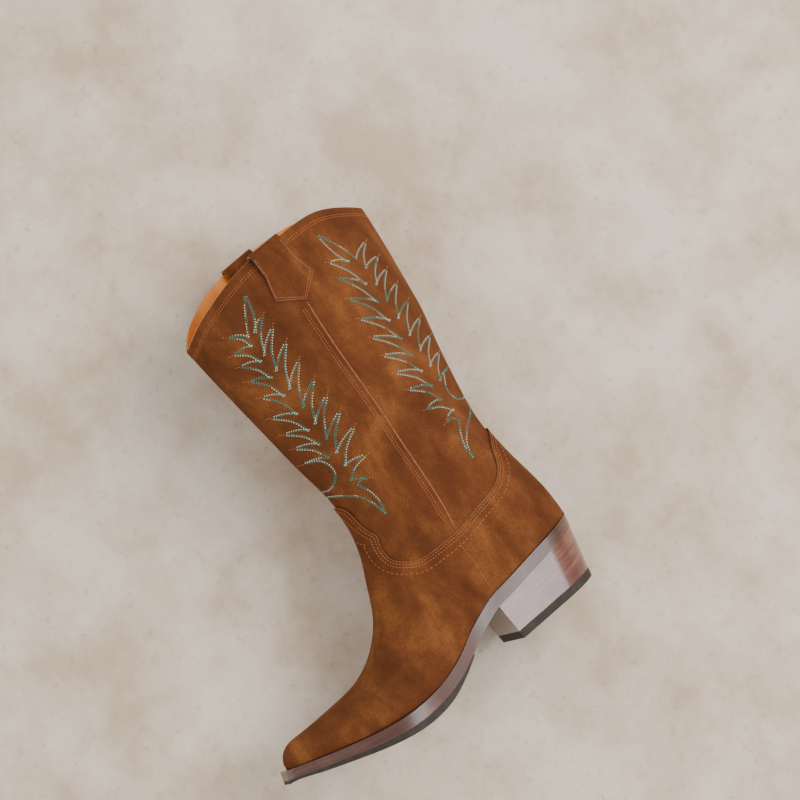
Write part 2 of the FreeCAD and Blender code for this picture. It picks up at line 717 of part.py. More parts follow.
wall_depth = size["shaft_thickness"]
lined_depth = wall_depth + size["lining_thickness"]
overlay_form = keep(form_solid(-size["overlay_thickness"]), "overlay_form")
wall_form = keep(form_solid(0.0), "wall_form")
lining_form = keep(form_solid(wall_depth), "lining_form")
cavity_form = keep(form_solid(lined_depth), "cavity_form")
piping_form = keep(form_solid(-size["piping_height"]), "piping_form")
overlay_shell = cut("overlay_shell", overlay_form, wall_form)
wall_shell = cut("wall_shell", wall_form, lining_form)
lining_shell = cut("lining_shell", lining_form, cavity_form)
piping_shell = cut("piping_shell", piping_form, wall_form)

# Rim: high at the sides, dipping to the front fold and more to the back fold.
RIM_FRONT = [(0.0, 0.0), (0.27, 0.04), (0.49, 0.18), (0.66, 0.36), (0.82, 0.58), (1.0, 1.0), (1.2, 1.5)]
RIM_BACK = [(0.0, 0.0), (0.18, 0.02), (0.40, 0.055), (0.55, 0.15), (0.69, 0.35), (0.85, 0.665),
            (1.0, 1.0), (1.2, 1.5)]
rim_points = [(size["leg_centre"] + (rim_front - size["leg_centre"]) * share,
               size["rim_height"] - size["front_dip"] * dip) for share, dip in reversed(RIM_FRONT)]
rim_points += [(size["leg_centre"] + (rim_back - size["leg_centre"]) * share,
                size["rim_height"] - size["back_dip"] * dip) for share, dip in RIM_BACK[1:]]

# Upper edge of the vamp and the counter, front to back, as shares of the ball's distance
# and of the ankle's height: a tongue up the front, a small point, then round the side.
OVERLAY_EDGE = [(0.860, 0.835), (0.745, 0.835), (0.707, 0.829), (0.692, 0.813), (0.682, 0.784),
                (0.679, 0.722), (0.671, 0.680), (0.662, 0.654), (0.675, 0.621), (0.684, 0.579),
                (0.674, 0.539), (0.633, 0.505), (0.592, 0.486), (0.505, 0.479), (0.393, 0.479),
                (0.280, 0.494), (0.140, 0.513), (0.065, 0.551), (0.036, 0.589), (0.012, 0.627),
                (-0.032, 0.665), (-0.059, 0.684), (-0.150, 0.730)]
# Lower edge of the shaft leather, tucked inside that edge.
TUCKED_EDGE = [(0.950, 0.668), (0.830, 0.628), (0.745, 0.578), (0.692, 0.522), (0.642, 0.474),
               (0.587, 0.446), (0.503, 0.437), (0.393, 0.437), (0.280, 0.452), (0.140, 0.471),
               (0.055, 0.500), (0.010, 0.540), (-0.040, 0.585), (-0.110, 0.630), (-0.200, 0.670)]
# Side seam, top to bottom, about the middle of the leg, with heights as shares of the rim's.
SIDE_SEAM = [(-3.0, 1.080), (-1.5, 1.000), (-0.1, 0.858), (1.4, 0.818), (4.1, 0.732), (5.9, 0.646),
             (7.5, 0.559), (9.7, 0.473), (12.2, 0.387), (15.0, 0.323), (18.9, 0.271), (21.1, 0.237),
             (22.4, 0.172), (24.1, 0.125), (25.0, 0.030)]

edge_points = [(ball * share, size["ankle_height"] * tall) for share, tall in OVERLAY_EDGE]
tuck_points = [(ball * share, size["ankle_height"] * tall) for share, tall in TUCKED_EDGE]
seam_points = [(size["leg_centre"] + shift, size["rim_height"] * tall) for shift, tall in SIDE_SEAM]

above_sole = side_prism([spline(feather_points(0.0)),
                         line(feather_points(0.0)[0], (FAR_BACK, SKY)),
                         line((FAR_BACK, SKY), (FAR_AHEAD, SKY)),
                         line((FAR_AHEAD, SKY), feather_points(0.0)[-1])], "above_sole")
under_rim = region_under(rim_points, -20.0, "under_rim")
under_edge_leg = region_under(edge_points, -20.0, "under_edge_leg")
under_tuck_leg = region_under(tuck_points, -20.0, "under_tuck_leg")
forefoot = side_polygon([(edge_points[0][0], -20.0), (FAR_AHEAD, -20.0),
                         (FAR_AHEAD, edge_points[0][1]), edge_points[0]], "forefoot")


def fuse(name, first, second):
    """Document object holding both features as one."""
    result = doc.addObject("Part::Fuse", name)
    result.Base = first
    result.Tool = second
    return result


under_edge = fuse("under_edge", under_edge_leg, forefoot)
forefoot_low = side_polygon([(tuck_points[0][0], -20.0), (FAR_AHEAD, -20.0),
                             (FAR_AHEAD, tuck_points[0][1]), tuck_points[0]], "forefoot_low")
under_tuck = fuse("under_tuck", under_tuck_leg, forefoot_low)
top_seam, low_seam = seam_points[0], seam_points[-1]
ahead_of_seam = side_prism([spline(seam_points), line(low_seam, (FAR_AHEAD, low_seam[1])),
                            line((FAR_AHEAD, low_seam[1]), (FAR_AHEAD, top_seam[1])),
                            line((FAR_AHEAD, top_seam[1]), top_seam)], "ahead_of_seam")
toe_line = toe_end - size["toe_box_length"]
toe_cut = [(toe_line + 8.0, -20.0), (toe_line - 18.0, 150.0)]
counter_cut = [(size["counter_reach"] + 6.0, -20.0), (size["counter_reach"] - 20.0, 150.0)]
toe_region = side_polygon([toe_cut[0], (FAR_AHEAD, -20.0), (FAR_AHEAD, 150.0), toe_cut[1]], "toe_region")
counter_region = side_polygon([counter_cut[0], (FAR_BACK, -20.0), (FAR_BACK, 150.0), counter_cut[1]],
                              "counter_region")
middle_region = side_polygon([toe_cut[0], toe_cut[1], counter_cut[1], counter_cut[0]], "middle_region")

standing_overlay = common("standing_overlay", overlay_shell, above_sole)
overlay = common("overlay", standing_overlay, under_edge)
vamp = common("vamp", overlay, ahead_of_seam)
counter_cover = cut("counter_cover", overlay, ahead_of_seam)

whole_wall = common("whole_wall", wall_shell, under_rim)
leg_wall = cut("leg_wall", whole_wall, under_tuck)
shaft_front = common("shaft_front", leg_wall, ahead_of_seam)
shaft_back = cut("shaft_back", leg_wall, ahead_of_seam)

standing_wall = common("standing_wall", wall_shell, above_sole)
foot_wall = common("foot_wall", standing_wall, under_tuck)
toe_box = common("toe_box", standing_wall, toe_region)
heel_counter = common("heel_counter", foot_wall, counter_region)
vamp_interlining = common("vamp_interlining", foot_wall, middle_region)

whole_lining = common("whole_lining", lining_shell, under_rim)
leg_lining = cut("leg_lining", whole_lining, under_tuck)
shaft_lining_front = common("shaft_lining_front", leg_lining, ahead_of_seam)
shaft_lining_back = cut("shaft_lining_back", leg_lining, ahead_of_seam)
standing_lining = common("standing_lining", lining_shell, above_sole)
vamp_lining = common("vamp_lining", standing_lining, under_tuck)

footbed_top = -size["insole_thickness"] - size["sock_thickness"]
footbed = common("footbed", cavity_form, band(footbed_top, 0.0, "footbed_band"))
insole_board = common("insole_board", footbed, band(-size["insole_thickness"], 0.0, "insole_band"))
sock_liner = common("sock_liner", footbed, band(footbed_top, -size["insole_thickness"], "sock_band"))

# ---------------------------------------------------------------- piping in the side seams

piping_half = size["piping_width"] / 2.0
tab_point = size["rim_height"] - size["strap_drop"]


def seam_at(height):
    """Distance of the side seam at a height."""
    return curve_through([(tall, distance) for distance, tall in reversed(seam_points)], height)


piping_top = tab_point - 0.6
piping_low = size["ankle_height"] * 0.479
piping_heights = [piping_low + (piping_top - piping_low) * k / 9.0 for k in range(10)]
piping_front = [(seam_at(tall) + piping_half, tall) for tall in piping_heights]
piping_back = [(seam_at(tall) - piping_half, tall) for tall in piping_heights]
piping_strip = side_prism([spline(piping_front), spline(piping_back),
                           line(piping_front[0], piping_back[0]),
                           line(piping_front[-1], piping_back[-1])], "piping_strip")
outer_side = doc.addObject("Part::Box", "outer_side")
outer_side.setExpression("Length", "2 * sizes.shaft_width")
outer_side.setExpression("Width", "4 * sizes.sole_length")
outer_side.setExpression("Height", "2 * sizes.rim_height")
outer_side.setExpression("Placement.Base.y", "-2 * sizes.sole_length")
piping_pair = common("piping_pair", piping_shell, piping_strip)
piping_free = cut("piping_free", piping_pair, under_edge)
side_piping_outer = common("side_piping_outer", piping_free, outer_side)
side_piping_inner = cut("side_piping_inner", piping_free, outer_side)

# ---------------------------------------------------------------- pull straps

def leg_surface(distance, height, inset):
    """Half-width of the leg's form at a distance and a height, drawn in by inset."""
    samples = []
    for station in leg_stations():
        section = inset_station(station, inset)
        front, back = section["front"][0], section["back"][0]
        share = (front - distance) / (front - back)
        samples.append((section["front"][1],
                        section["half_width"] * width_share(section, angle_at(share))))
    return curve_through(samples, height)


def strap_section(distance, side):
    """Closed section of the strap across the rim, at one distance along the rim."""
    thick = size["strap_thickness"]
    away = size["strap_stand_off"]
    rim = size["rim_height"]

    def outer(height, stand):
        return (leg_surface(distance, height, 0.0) + thick / 2.0 + stand, height)

    def inner(height, stand):
        return (leg_surface(distance, height, lined_depth) - thick / 2.0 - stand, height)

    middle = (outer(rim, 0.0)[0] + inner(rim, 0.0)[0]) / 2.0
    half = (outer(rim, away)[0] - inner(rim, away)[0]) / 2.0
    crown = strap_top - thick / 2.0
    spring = rim - 1.6
    shoulder = spring + 0.68 * (crown - spring)
    path = [outer(tab_point - 4.0, -WALL_BITE), outer(tab_point + 8.0, -WALL_BITE),
            outer(rim - 26.0, -WALL_BITE), outer(rim - 20.0, 0.02 * away),
            outer(rim - 13.0, 0.42 * away), outer(rim - 6.0, 0.86 * away),
            (middle + half, spring), (middle + 0.78 * half, shoulder),
            (middle, crown),
            (middle - 0.78 * half, shoulder), (middle - half, spring),
            inner(rim - 6.0, 0.86 * away), inner(rim - 13.0, 0.42 * away),
            inner(rim - 20.0, 0.02 * away), inner(rim - size["strap_inner_drop"], -WALL_BITE)]
    centre = Part.BSplineCurve()
    centre.interpolate([Vector(across, 0, height) for across, height in path])
    start, end = centre.FirstParameter, centre.LastParameter
    faces = ([], [])
    for k in range(STRAP_STEPS + 1):
        where = start + (end - start) * k / STRAP_STEPS
        point = centre.value(where)
        ahead = centre.tangent(where)[0]
        sideways = Vector(ahead.z, 0, -ahead.x)
        for row, shift in zip(faces, (thick / 2.0, -thick / 2.0)):
            moved = point + sideways * shift
            row.append(place(distance, side * moved.x, moved.z))
    curves = []
    for row in faces:
        curve = Part.BSplineCurve()
        curve.interpolate(row)
        curves.append(curve.toShape())
    ends = [Part.LineSegment(faces[0][k], faces[1][k]).toShape() for k in (0, -1)]
    return Part.Wire([curves[0], ends[1], curves[1], ends[0]])


strap_centre = seam_at(size["rim_height"]) + 0.6
half_strap = size["strap_width"] / 2.0
half_tab = size["strap_tab_width"] / 2.0
strap_sections = [strap_centre + half_tab * k / 2.0 * 1.1 for k in (-2, -1, 0, 1, 2)]
tab_prism = side_polygon([(strap_centre - half_strap, SKY), (strap_centre + half_strap, SKY),
                          (strap_centre + half_strap, size["rim_height"] - STRAP_NECK),
                          (strap_centre + half_tab, tab_point + TAB_SHOULDER),
                          (strap_centre, tab_point),
                          (strap_centre - half_tab, tab_point + TAB_SHOULDER),
                          (strap_centre - half_strap, size["rim_height"] - STRAP_NECK)], "tab_prism")
lined_wall = fuse("lined_wall", whole_wall, whole_lining)
straps = []
for side, which in ((1, "outer"), (-1, "inner")):
    blank = keep(Part.makeLoft([strap_section(d, side) for d in strap_sections], True, False),
                 "strap_blank_" + which)
    tab = common("strap_tab_" + which, blank, tab_prism)
    straps.append(cut("pull_strap_" + which, tab, lined_wall))

# ---------------------------------------------------------------- check and write

PARTS = [outsole, half_sole, welt, heel_rand, cork_filler, shank, insole_board, sock_liner,
         top_lift] + lifts + [heel_wedge, heel_nails, vamp, counter_cover, shaft_front, shaft_back,
                              toe_box, heel_counter, vamp_interlining, shaft_lining_front,
                              shaft_lining_back, vamp_lining, side_piping_outer,
                              side_piping_inner] + straps


def check_and_write():
    """Recompute, refuse anything failed, then write one STEP file for each part."""
    doc.recompute()
    failed = [item.Name for item in doc.Objects
              if "Invalid" in item.State or "Error" in item.State]
    if failed:
        raise RuntimeError("these objects failed: " + ", ".join(failed))
    for item in PARTS:
        if item.Shape.isNull() or not item.Shape.isValid() or not item.Shape.Solids:
            raise RuntimeError("bad shape: " + item.Name)
    os.makedirs("parts", exist_ok=True)
    for item in PARTS:
        item.Shape.exportStep(os.path.join("parts", item.Label + ".step"))
        box = item.Shape.BoundBox
        print("%-20s solids %d  volume %9.1f  x %7.2f %7.2f  y %8.2f %8.2f  z %7.2f %7.2f" % (
            item.Label, len(item.Shape.Solids), item.Shape.Volume,
            box.XMin, box.XMax, box.YMin, box.YMax, box.ZMin, box.ZMax))


check_and_write()
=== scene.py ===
"""Western boot for a left foot: suede upper, embroidered shaft, stacked leather heel.

Everything is in metres in the frame of the CAD model: Z is up, the toe points to -Y and the
outer side of the foot is +X.  Lengths along the boot are written as "distances": millimetres
ahead of the back edge of the heel base, towards the toe.
"""
import logging
import math
from dataclasses import dataclass, field
from enum import Enum
from typing import Any, Dict, List, Optional, Sequence, Tuple

import bmesh
import bpy
from mathutils import Matrix, Vector, noise
from mathutils.bvhtree import BVHTree


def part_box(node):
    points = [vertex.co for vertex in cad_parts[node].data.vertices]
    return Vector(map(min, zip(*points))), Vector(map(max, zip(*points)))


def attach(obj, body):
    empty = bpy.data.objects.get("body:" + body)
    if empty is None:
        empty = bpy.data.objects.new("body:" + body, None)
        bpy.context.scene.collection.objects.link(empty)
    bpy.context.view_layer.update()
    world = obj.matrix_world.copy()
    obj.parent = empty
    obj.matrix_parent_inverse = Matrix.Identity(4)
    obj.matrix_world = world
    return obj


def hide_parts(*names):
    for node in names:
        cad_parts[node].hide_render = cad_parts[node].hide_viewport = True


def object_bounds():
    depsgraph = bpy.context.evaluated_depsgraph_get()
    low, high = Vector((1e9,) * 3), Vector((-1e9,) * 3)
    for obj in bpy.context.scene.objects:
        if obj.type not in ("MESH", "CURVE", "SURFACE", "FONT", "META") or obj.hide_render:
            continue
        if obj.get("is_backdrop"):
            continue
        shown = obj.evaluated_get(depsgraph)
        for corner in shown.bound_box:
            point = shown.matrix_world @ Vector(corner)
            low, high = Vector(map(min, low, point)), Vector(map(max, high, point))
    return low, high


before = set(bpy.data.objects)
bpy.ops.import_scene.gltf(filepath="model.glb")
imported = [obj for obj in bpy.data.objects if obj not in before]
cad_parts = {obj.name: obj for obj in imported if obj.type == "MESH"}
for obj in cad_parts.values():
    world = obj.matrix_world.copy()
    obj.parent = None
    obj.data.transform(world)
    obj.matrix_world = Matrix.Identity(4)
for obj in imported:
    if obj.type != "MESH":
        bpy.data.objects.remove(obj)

LOG = logging.getLogger("western_boot")
MM = 0.001
ORIGIN_DISTANCE = 113.268       # distance, in mm, at which y is zero
SOLE_GAP = "sole_gap"           # attribute: height in mm above the top of the sole
SOLE_RUN = "sole_run"           # attribute: (across, along, depth under the sole's top), metres
CUT_FACING = 0.03               # a cut edge faces along the flank: the most that its normal turns out
CUT_BESIDE = 8.0                # cut edges lie at least this far, in mm, from the middle plane
CUT_ABOVE = 60.0                # and at least this high, in mm
PATCH_SCALE = 90.0              # per metre: how fast an embroidered row changes its thread
PATCH_LIMIT = 0.12              # noise over which the second thread shows

FlatPoint = Tuple[float, float]                 # (distance, height) in mm
Touch = Tuple[Vector, Vector]                   # place and outward direction


class Side(Enum):
    """The two flanks of the boot."""

    OUTER = 1
    INNER = -1


# ------------------------------------------------------------------ small tools

def smooth(value: float) -> float:
    """Ease from 0 to 1."""
    value = min(1.0, max(0.0, value))
    return value * value * (3.0 - 2.0 * value)


def curve_points(knots: Sequence[Tuple[float, float]], steps: int) -> List[FlatPoint]:
    """Pass a smooth line through points of the plane.

    Args:
        knots: Points that the line passes through.
        steps: Pieces that each stretch is divided into.

    Returns:
        Points along the line, ends included.
    """
    line: List[FlatPoint] = []
    count = len(knots)
    for i in range(count - 1):
        before, start, end, after = (knots[max(0, i - 1)], knots[i], knots[i + 1],
                                     knots[min(count - 1, i + 2)])
        for k in range(steps + (1 if i == count - 2 else 0)):
            u = k / steps
            weights = (-0.5 * u ** 3 + u ** 2 - 0.5 * u, 1.5 * u ** 3 - 2.5 * u ** 2 + 1.0,
                       -1.5 * u ** 3 + 2.0 * u ** 2 + 0.5 * u, 0.5 * u ** 3 - 0.5 * u ** 2)
            line.append(tuple(sum(w * p[axis] for w, p in zip(weights, (before, start, end, after)))
                              for axis in (0, 1)))
    return line


def height_on(line: Sequence[FlatPoint], height: float) -> float:
    """Distance at which a line that runs up or down passes a height."""
    ordered = sorted(line, key=lambda point: point[1])
    if height <= ordered[0][1]:
        return ordered[0][0]
    for low, high in zip(ordered, ordered[1:]):
        if height <= high[1]:
            share = (height - low[1]) / max(1e-6, high[1] - low[1])
            return low[0] + (high[0] - low[0]) * share
    return ordered[-1][0]


def linear(colour: str) -> Tuple[float, float, float, float]:
    """Turn an sRGB hex value into linear RGBA."""
    parts = [int(colour.lstrip("#")[i:i + 2], 16) / 255.0 for i in (0, 2, 4)]
    straight = [p / 12.92 if p <= 0.04045 else ((p + 0.055) / 1.055) ** 2.4 for p in parts]
    return (straight[0], straight[1], straight[2], 1.0)


def add_node(tree: bpy.types.NodeTree, kind: str, settings: Optional[Dict[str, Any]] = None,
             inputs: Optional[Dict[Any, Any]] = None) -> bpy.types.Node:
    """Add one shader node with its settings and its inputs.

    Args:
        tree: Tree that takes the node.
        kind: Type of the node, without the leading "ShaderNode".
        settings: Values of the node's own properties.
        inputs: For each input, by name or number, a value or the socket that feeds it.

    Returns:
        The new node.
    """
    node = tree.nodes.new("ShaderNode" + kind)
    for name, value in (settings or {}).items():
        setattr(node, name, value)
    for name, value in (inputs or {}).items():
        socket = node.inputs[name]
        if isinstance(value, bpy.types.NodeSocket):
            tree.links.new(value, socket)
        else:
            socket.default_value = value
    return node


def set_ramp(node: bpy.types.Node, stops: Sequence[Tuple[float, str]]) -> None:
    """Give a colour ramp its stops: (place, hex colour)."""
    ramp = node.color_ramp
    while len(ramp.elements) > 1:
        ramp.elements.remove(ramp.elements[-1])
    ramp.elements[0].position = stops[0][0]
    ramp.elements[0].color = linear(stops[0][1])
    for place, colour in stops[1:]:
        ramp.elements.new(place).color = linear(colour)


def new_material(name: str) -> Tuple[bpy.types.Material, bpy.types.NodeTree, bpy.types.Node]:
    """Start a material with an empty principled shader."""
    material = bpy.data.materials.new(name)
    material.use_nodes = True
    tree = material.node_tree
    return material, tree, tree.nodes["Principled BSDF"]


# ------------------------------------------------------------------ finishes

@dataclass(frozen=True)
class Suede:
    """Calf suede: a short soft nap that looks darker or lighter as it was last stroked."""

    name: str = "calf suede, cognac"
    deep: str = "#472414"
    dark: str = "#57301a"
    middle: str = "#653a20"
    light: str = "#89562c"
    stroke_mm: float = 42.0         # patches where the nap lies one way
    patch_mm: float = 11.0          # smaller marks left by fingers
    nap_mm: float = 0.9             # tufts of fibre, drawn coarser than the real 0.2 mm
    swell_mm: float = 55.0          # soft waves of leather that has no stiffener behind it
    crease_shade_mm: float = 1.5           # painted shade: dark line in the crease beside the sole
    roughness: float = 0.95
    sheen: float = 0.12

    def make(self) -> bpy.types.Material:
        """Build the material."""
        material, tree, shader = new_material(self.name)
        place = add_node(tree, "TexCoord").outputs["Object"]
        drawn = add_node(tree, "Mapping", inputs={
            "Vector": place, "Rotation": (0.35, 0.0, 0.0), "Scale": (1.0, 1.25, 0.6)})
        stroke = add_node(tree, "TexNoise", inputs={
            "Vector": drawn.outputs["Vector"], "Scale": 1.0 / (self.stroke_mm * MM), "Detail": 3.0,
            "Roughness": 0.55, "Distortion": 0.5})
        patch = add_node(tree, "TexNoise", inputs={
            "Vector": place, "Scale": 1.0 / (self.patch_mm * MM), "Detail": 4.0, "Roughness": 0.6,
            "Distortion": 0.3})
        nap = add_node(tree, "TexNoise", inputs={
            "Vector": place, "Scale": 1.0 / (self.nap_mm * MM), "Detail": 3.0, "Roughness": 0.7})
        mixed = add_node(tree, "Mix", {"data_type": "FLOAT"}, {
            0: 0.24, 2: stroke.outputs["Fac"], 3: patch.outputs["Fac"]})
        grained = add_node(tree, "Mix", {"data_type": "FLOAT"}, {
            0: 0.3, 2: mixed.outputs[0], 3: nap.outputs["Fac"]})
        ramp = add_node(tree, "ValToRGB", inputs={"Fac": grained.outputs[0]})
        set_ramp(ramp, [(0.33, self.deep), (0.44, self.dark), (0.52, self.middle), (0.65, self.light)])
        # Painted shade: near the top of the sole the suede is mixed towards a very dark brown, fading out by
        # 1.5 mm above it, for the shade in the crease where the upper meets the sole.
        gap = add_node(tree, "Attribute", {"attribute_name": SOLE_GAP})
        crease_shade = add_node(tree, "MapRange", {"interpolation_type": "SMOOTHSTEP"}, {
            "Value": gap.outputs["Fac"], "From Min": 0.3 * self.crease_shade_mm, "From Max": self.crease_shade_mm,
            "To Min": 0.85, "To Max": 0.0})
        crease_shaded = add_node(tree, "Mix", {"data_type": "RGBA"}, {
            0: crease_shade.outputs["Result"], 6: ramp.outputs["Color"], 7: linear("#2c150e")})
        tree.links.new(crease_shaded.outputs[2], shader.inputs["Base Color"])
        fibre = add_node(tree, "Bump", inputs={
            "Strength": 0.55, "Distance": 0.35 * MM, "Height": nap.outputs["Fac"]})
        swell = add_node(tree, "TexNoise", inputs={
            "Vector": place, "Scale": 1.0 / (self.swell_mm * MM), "Detail": 1.0})
        wave = add_node(tree, "Bump", inputs={
            "Strength": 0.5, "Distance": 2.5 * MM, "Height": swell.outputs["Fac"],
            "Normal": fibre.outputs["Normal"]})
        lay = add_node(tree, "Bump", inputs={
            "Strength": 0.3, "Distance": 1.0 * MM, "Height": patch.outputs["Fac"],
            "Normal": wave.outputs["Normal"]})
        tree.links.new(lay.outputs["Normal"], shader.inputs["Normal"])
        shader.inputs["Roughness"].default_value = self.roughness
        shader.inputs["Specular IOR Level"].default_value = 0.12
        shader.inputs["Sheen Weight"].default_value = self.sheen
        shader.inputs["Sheen Roughness"].default_value = 0.55
        shader.inputs["Sheen Tint"].default_value = linear("#c9915c")
        return material


@dataclass(frozen=True)
class StackedLeather:
    """Layers of sole leather, sanded flush, dyed, waxed and burnished to a deep gloss."""

    name: str
    dark: str
    middle: str
    light: str
    layer_mm: float = 1.7           # one visible ply
    run_mm: float = 38.0            # length of one streak
    roughness: float = 0.38
    coat: float = 0.6
    coat_roughness: float = 0.27

    def make(self) -> bpy.types.Material:
        """Build the material."""
        material, tree, shader = new_material(self.name)
        place = add_node(tree, "Attribute", {"attribute_name": SOLE_RUN}).outputs["Vector"]
        flat = add_node(tree, "Mapping", inputs={
            "Vector": place,
            "Scale": (1.0 / (self.run_mm * MM), 1.0 / (self.run_mm * MM), 1.0 / (self.layer_mm * MM))})
        streak = add_node(tree, "TexNoise", inputs={
            "Vector": flat.outputs["Vector"], "Scale": 1.0, "Detail": 5.0, "Roughness": 0.62})
        cloud = add_node(tree, "TexNoise", inputs={
            "Vector": place, "Scale": 1.0 / (22.0 * MM), "Detail": 2.0})
        mixed = add_node(tree, "Mix", {"data_type": "FLOAT"}, {
            0: 0.4, 2: streak.outputs["Fac"], 3: cloud.outputs["Fac"]})
        ramp = add_node(tree, "ValToRGB", inputs={"Fac": mixed.outputs[0]})
        set_ramp(ramp, [(0.34, self.dark), (0.5, self.middle), (0.66, self.light)])
        tree.links.new(ramp.outputs["Color"], shader.inputs["Base Color"])
        lines = add_node(tree, "Bump", inputs={
            "Strength": 0.25, "Distance": 0.15 * MM, "Height": streak.outputs["Fac"]})
        tree.links.new(lines.outputs["Normal"], shader.inputs["Normal"])
        shader.inputs["Roughness"].default_value = self.roughness
        shader.inputs["Coat Weight"].default_value = self.coat
        shader.inputs["Coat Roughness"].default_value = self.coat_roughness
        return material


@dataclass(frozen=True)
class PlainFinish:
    """A material of one colour with a fine mottling and a fine grain."""

    name: str
    dark: str
    light: str
    mottle_mm: float
    grain_mm: float
    roughness: float
    metallic: float = 0.0
    grain_depth_mm: float = 0.1
    sheen: float = 0.0

    def make(self) -> bpy.types.Material:
        """Build the material."""
        material, tree, shader = new_material(self.name)
        place = add_node(tree, "TexCoord").outputs["Object"]
        mottle = add_node(tree, "TexNoise", inputs={
            "Vector": place, "Scale": 1.0 / (self.mottle_mm * MM), "Detail": 3.0})
        ramp = add_node(tree, "ValToRGB", inputs={"Fac": mottle.outputs["Fac"]})
        set_ramp(ramp, [(0.35, self.dark), (0.65, self.light)])
        tree.links.new(ramp.outputs["Color"], shader.inputs["Base Color"])
        grain = add_node(tree, "TexNoise", inputs={
            "Vector": place, "Scale": 1.0 / (self.grain_mm * MM), "Detail": 2.0})
        bump = add_node(tree, "Bump", inputs={
            "Strength": 0.4, "Distance": self.grain_depth_mm * MM, "Height": grain.outputs["Fac"]})
        tree.links.new(bump.outputs["Normal"], shader.inputs["Normal"])
        shader.inputs["Roughness"].default_value = self.roughness
        shader.inputs["Metallic"].default_value = self.metallic
        shader.inputs["Sheen Weight"].default_value = self.sheen
        return material


# Vegetable-tanned calf, dyed through: a smooth face with a fine pebble.
LINING = PlainFinish("lining calf, orange tan", "#e0811f", "#f29a3a", 14.0, 0.8, 0.5)
# Rubber with a dull moulded skin and dust in its pores.
RUBBER = PlainFinish("moulded rubber, olive", "#262019", "#342c22", 6.0, 0.7, 0.72, grain_depth_mm=0.15)
STIFFENER = PlainFinish("pressed leatherboard", "#a98f6c", "#bfa47e", 5.0, 0.6, 0.85)
CORK = PlainFinish("cork and latex paste", "#7a5a3c", "#a07c56", 2.5, 1.0, 0.9, grain_depth_mm=0.3)
BOARD = PlainFinish("cellulose insole board", "#c9b592", "#d8c6a6", 4.0, 0.5, 0.9)
STEEL = PlainFinish("spring steel, tempered", "#8a8a8c", "#a2a2a4", 8.0, 0.4, 0.32, metallic=1.0)
SOLE_EDGE = StackedLeather("sole leather, burnished edge", "#2f1712", "#48261d", "#62392e")
HEEL_STACK = StackedLeather("stacked heel leather, waxed", "#47241c", "#643529", "#86523f",
                            layer_mm=2.1, run_mm=30.0, roughness=0.2, coat=0.9)
# Twisted polyester thread: soft shine along each stitch.
TEAL_THREAD = PlainFinish("embroidery thread, sea green", "#1d6e60", "#3f9483", 1.5, 0.3, 0.5)
PALE_THREAD = PlainFinish("embroidery thread, pale mint", "#a9c4b0", "#d6dfcb", 1.5, 0.3, 0.5)
TAN_THREAD = PlainFinish("topstitching thread, tan", "#a2562a", "#bd7340", 1.5, 0.3, 0.6)
# The cut edge of suede, pared and brushed: paler than the nap; on the side-seam fold and on the beads along
# the edges this pale finish also serves as a painted highlight.
RAW_EDGE = PlainFinish("suede, pared edge", "#7b4a29", "#8f5d38", 3.0, 0.5, 0.9, sheen=0.1)


# ------------------------------------------------------------------ surface of the upper

@dataclass
class Skin:
    """Finds places on the boot's outer surface."""

    nodes: Tuple[str, ...] = ("vamp", "counter_cover", "shaft_front", "shaft_back")
    reach: float = 0.25
    tree: BVHTree = field(init=False)
    axes: Dict[int, float] = field(init=False, default_factory=dict)

    def __post_init__(self) -> None:
        """Gather the outer pieces into one search tree."""
        gathered = bmesh.new()
        for name in self.nodes:
            gathered.from_mesh(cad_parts[name].data)
        self.tree = BVHTree.FromBMesh(gathered)
        gathered.free()

    def cast(self, start: Vector, towards: Vector) -> Optional[Touch]:
        """First touch of a ray, or None."""
        place, normal, _, _ = self.tree.ray_cast(start, towards.normalized())
        if place is None:
            return None
        return place, (normal if normal.dot(towards) < 0.0 else -normal)

    def flank(self, distance: float, height: float, side: Side) -> Optional[Touch]:
        """Touch of a ray straight across the boot on one side."""
        y = (ORIGIN_DISTANCE - distance) * MM
        return self.cast(Vector((side.value * self.reach, y, height * MM)), Vector((-side.value, 0, 0)))

    def axis(self, height: float) -> float:
        """Y of the middle of the leg at a height in mm."""
        key = int(round(height))
        if key not in self.axes:
            front = self.cast(Vector((0, -self.reach, key * MM)), Vector((0, 1, 0)))
            back = self.cast(Vector((0, self.reach, key * MM)), Vector((0, -1, 0)))
            self.axes[key] = (front[0].y + back[0].y) / 2.0 if front and back else 0.06
        return self.axes[key]

    def around(self, turn: float, height: float) -> Optional[Touch]:
        """Touch of a level ray towards the leg's middle; turn 0 is the front, +90 the outer side."""
        middle = Vector((0, self.axis(height), height * MM))
        out = Vector((math.sin(turn), -math.cos(turn), 0))
        return self.cast(middle + out * self.reach, -out)

    def turn_of(self, distance: float, height: float, side: Side) -> float:
        """Turn at which a point of the side view lies, with 0 or pi past the silhouettes."""
        touch = self.flank(distance, height, side)
        y = (ORIGIN_DISTANCE - distance) * MM
        if touch is None:
            return 0.0 if y < self.axis(height) else side.value * math.pi
        place = touch[0]
        return math.atan2(place.x, self.axis(height) - place.y)

    def near(self, place: Vector) -> Touch:
        """Closest place of the surface."""
        found, normal, _, _ = self.tree.find_nearest(place)
        return found, normal

    def wrap(self, line: Sequence[FlatPoint], side: Side) -> List[Touch]:
        """Lay a line of the side view on one flank, carried round the folds.

        Args:
            line: Points as (distance, height) in mm.
            side: Flank that the line lies on.

        Returns:
            Touches along the line; points past the boot are left out.
        """
        touches = []
        for distance, height in line:
            touch = self.flank(distance, height, side)
            if touch is not None:
                touches.append(touch)
        return touches

    def ring(self, line: Sequence[Tuple[float, float]]) -> List[Touch]:
        """Lay a line given as (turn, height in mm) round the leg."""
        return [touch for turn, height in line if (touch := self.around(turn, height)) is not None]


# ------------------------------------------------------------------ stitches

@dataclass(frozen=True)
class Stitch:
    """Sizes of one stitch, in mm."""

    length: float
    gap: float
    width: float
    height: float


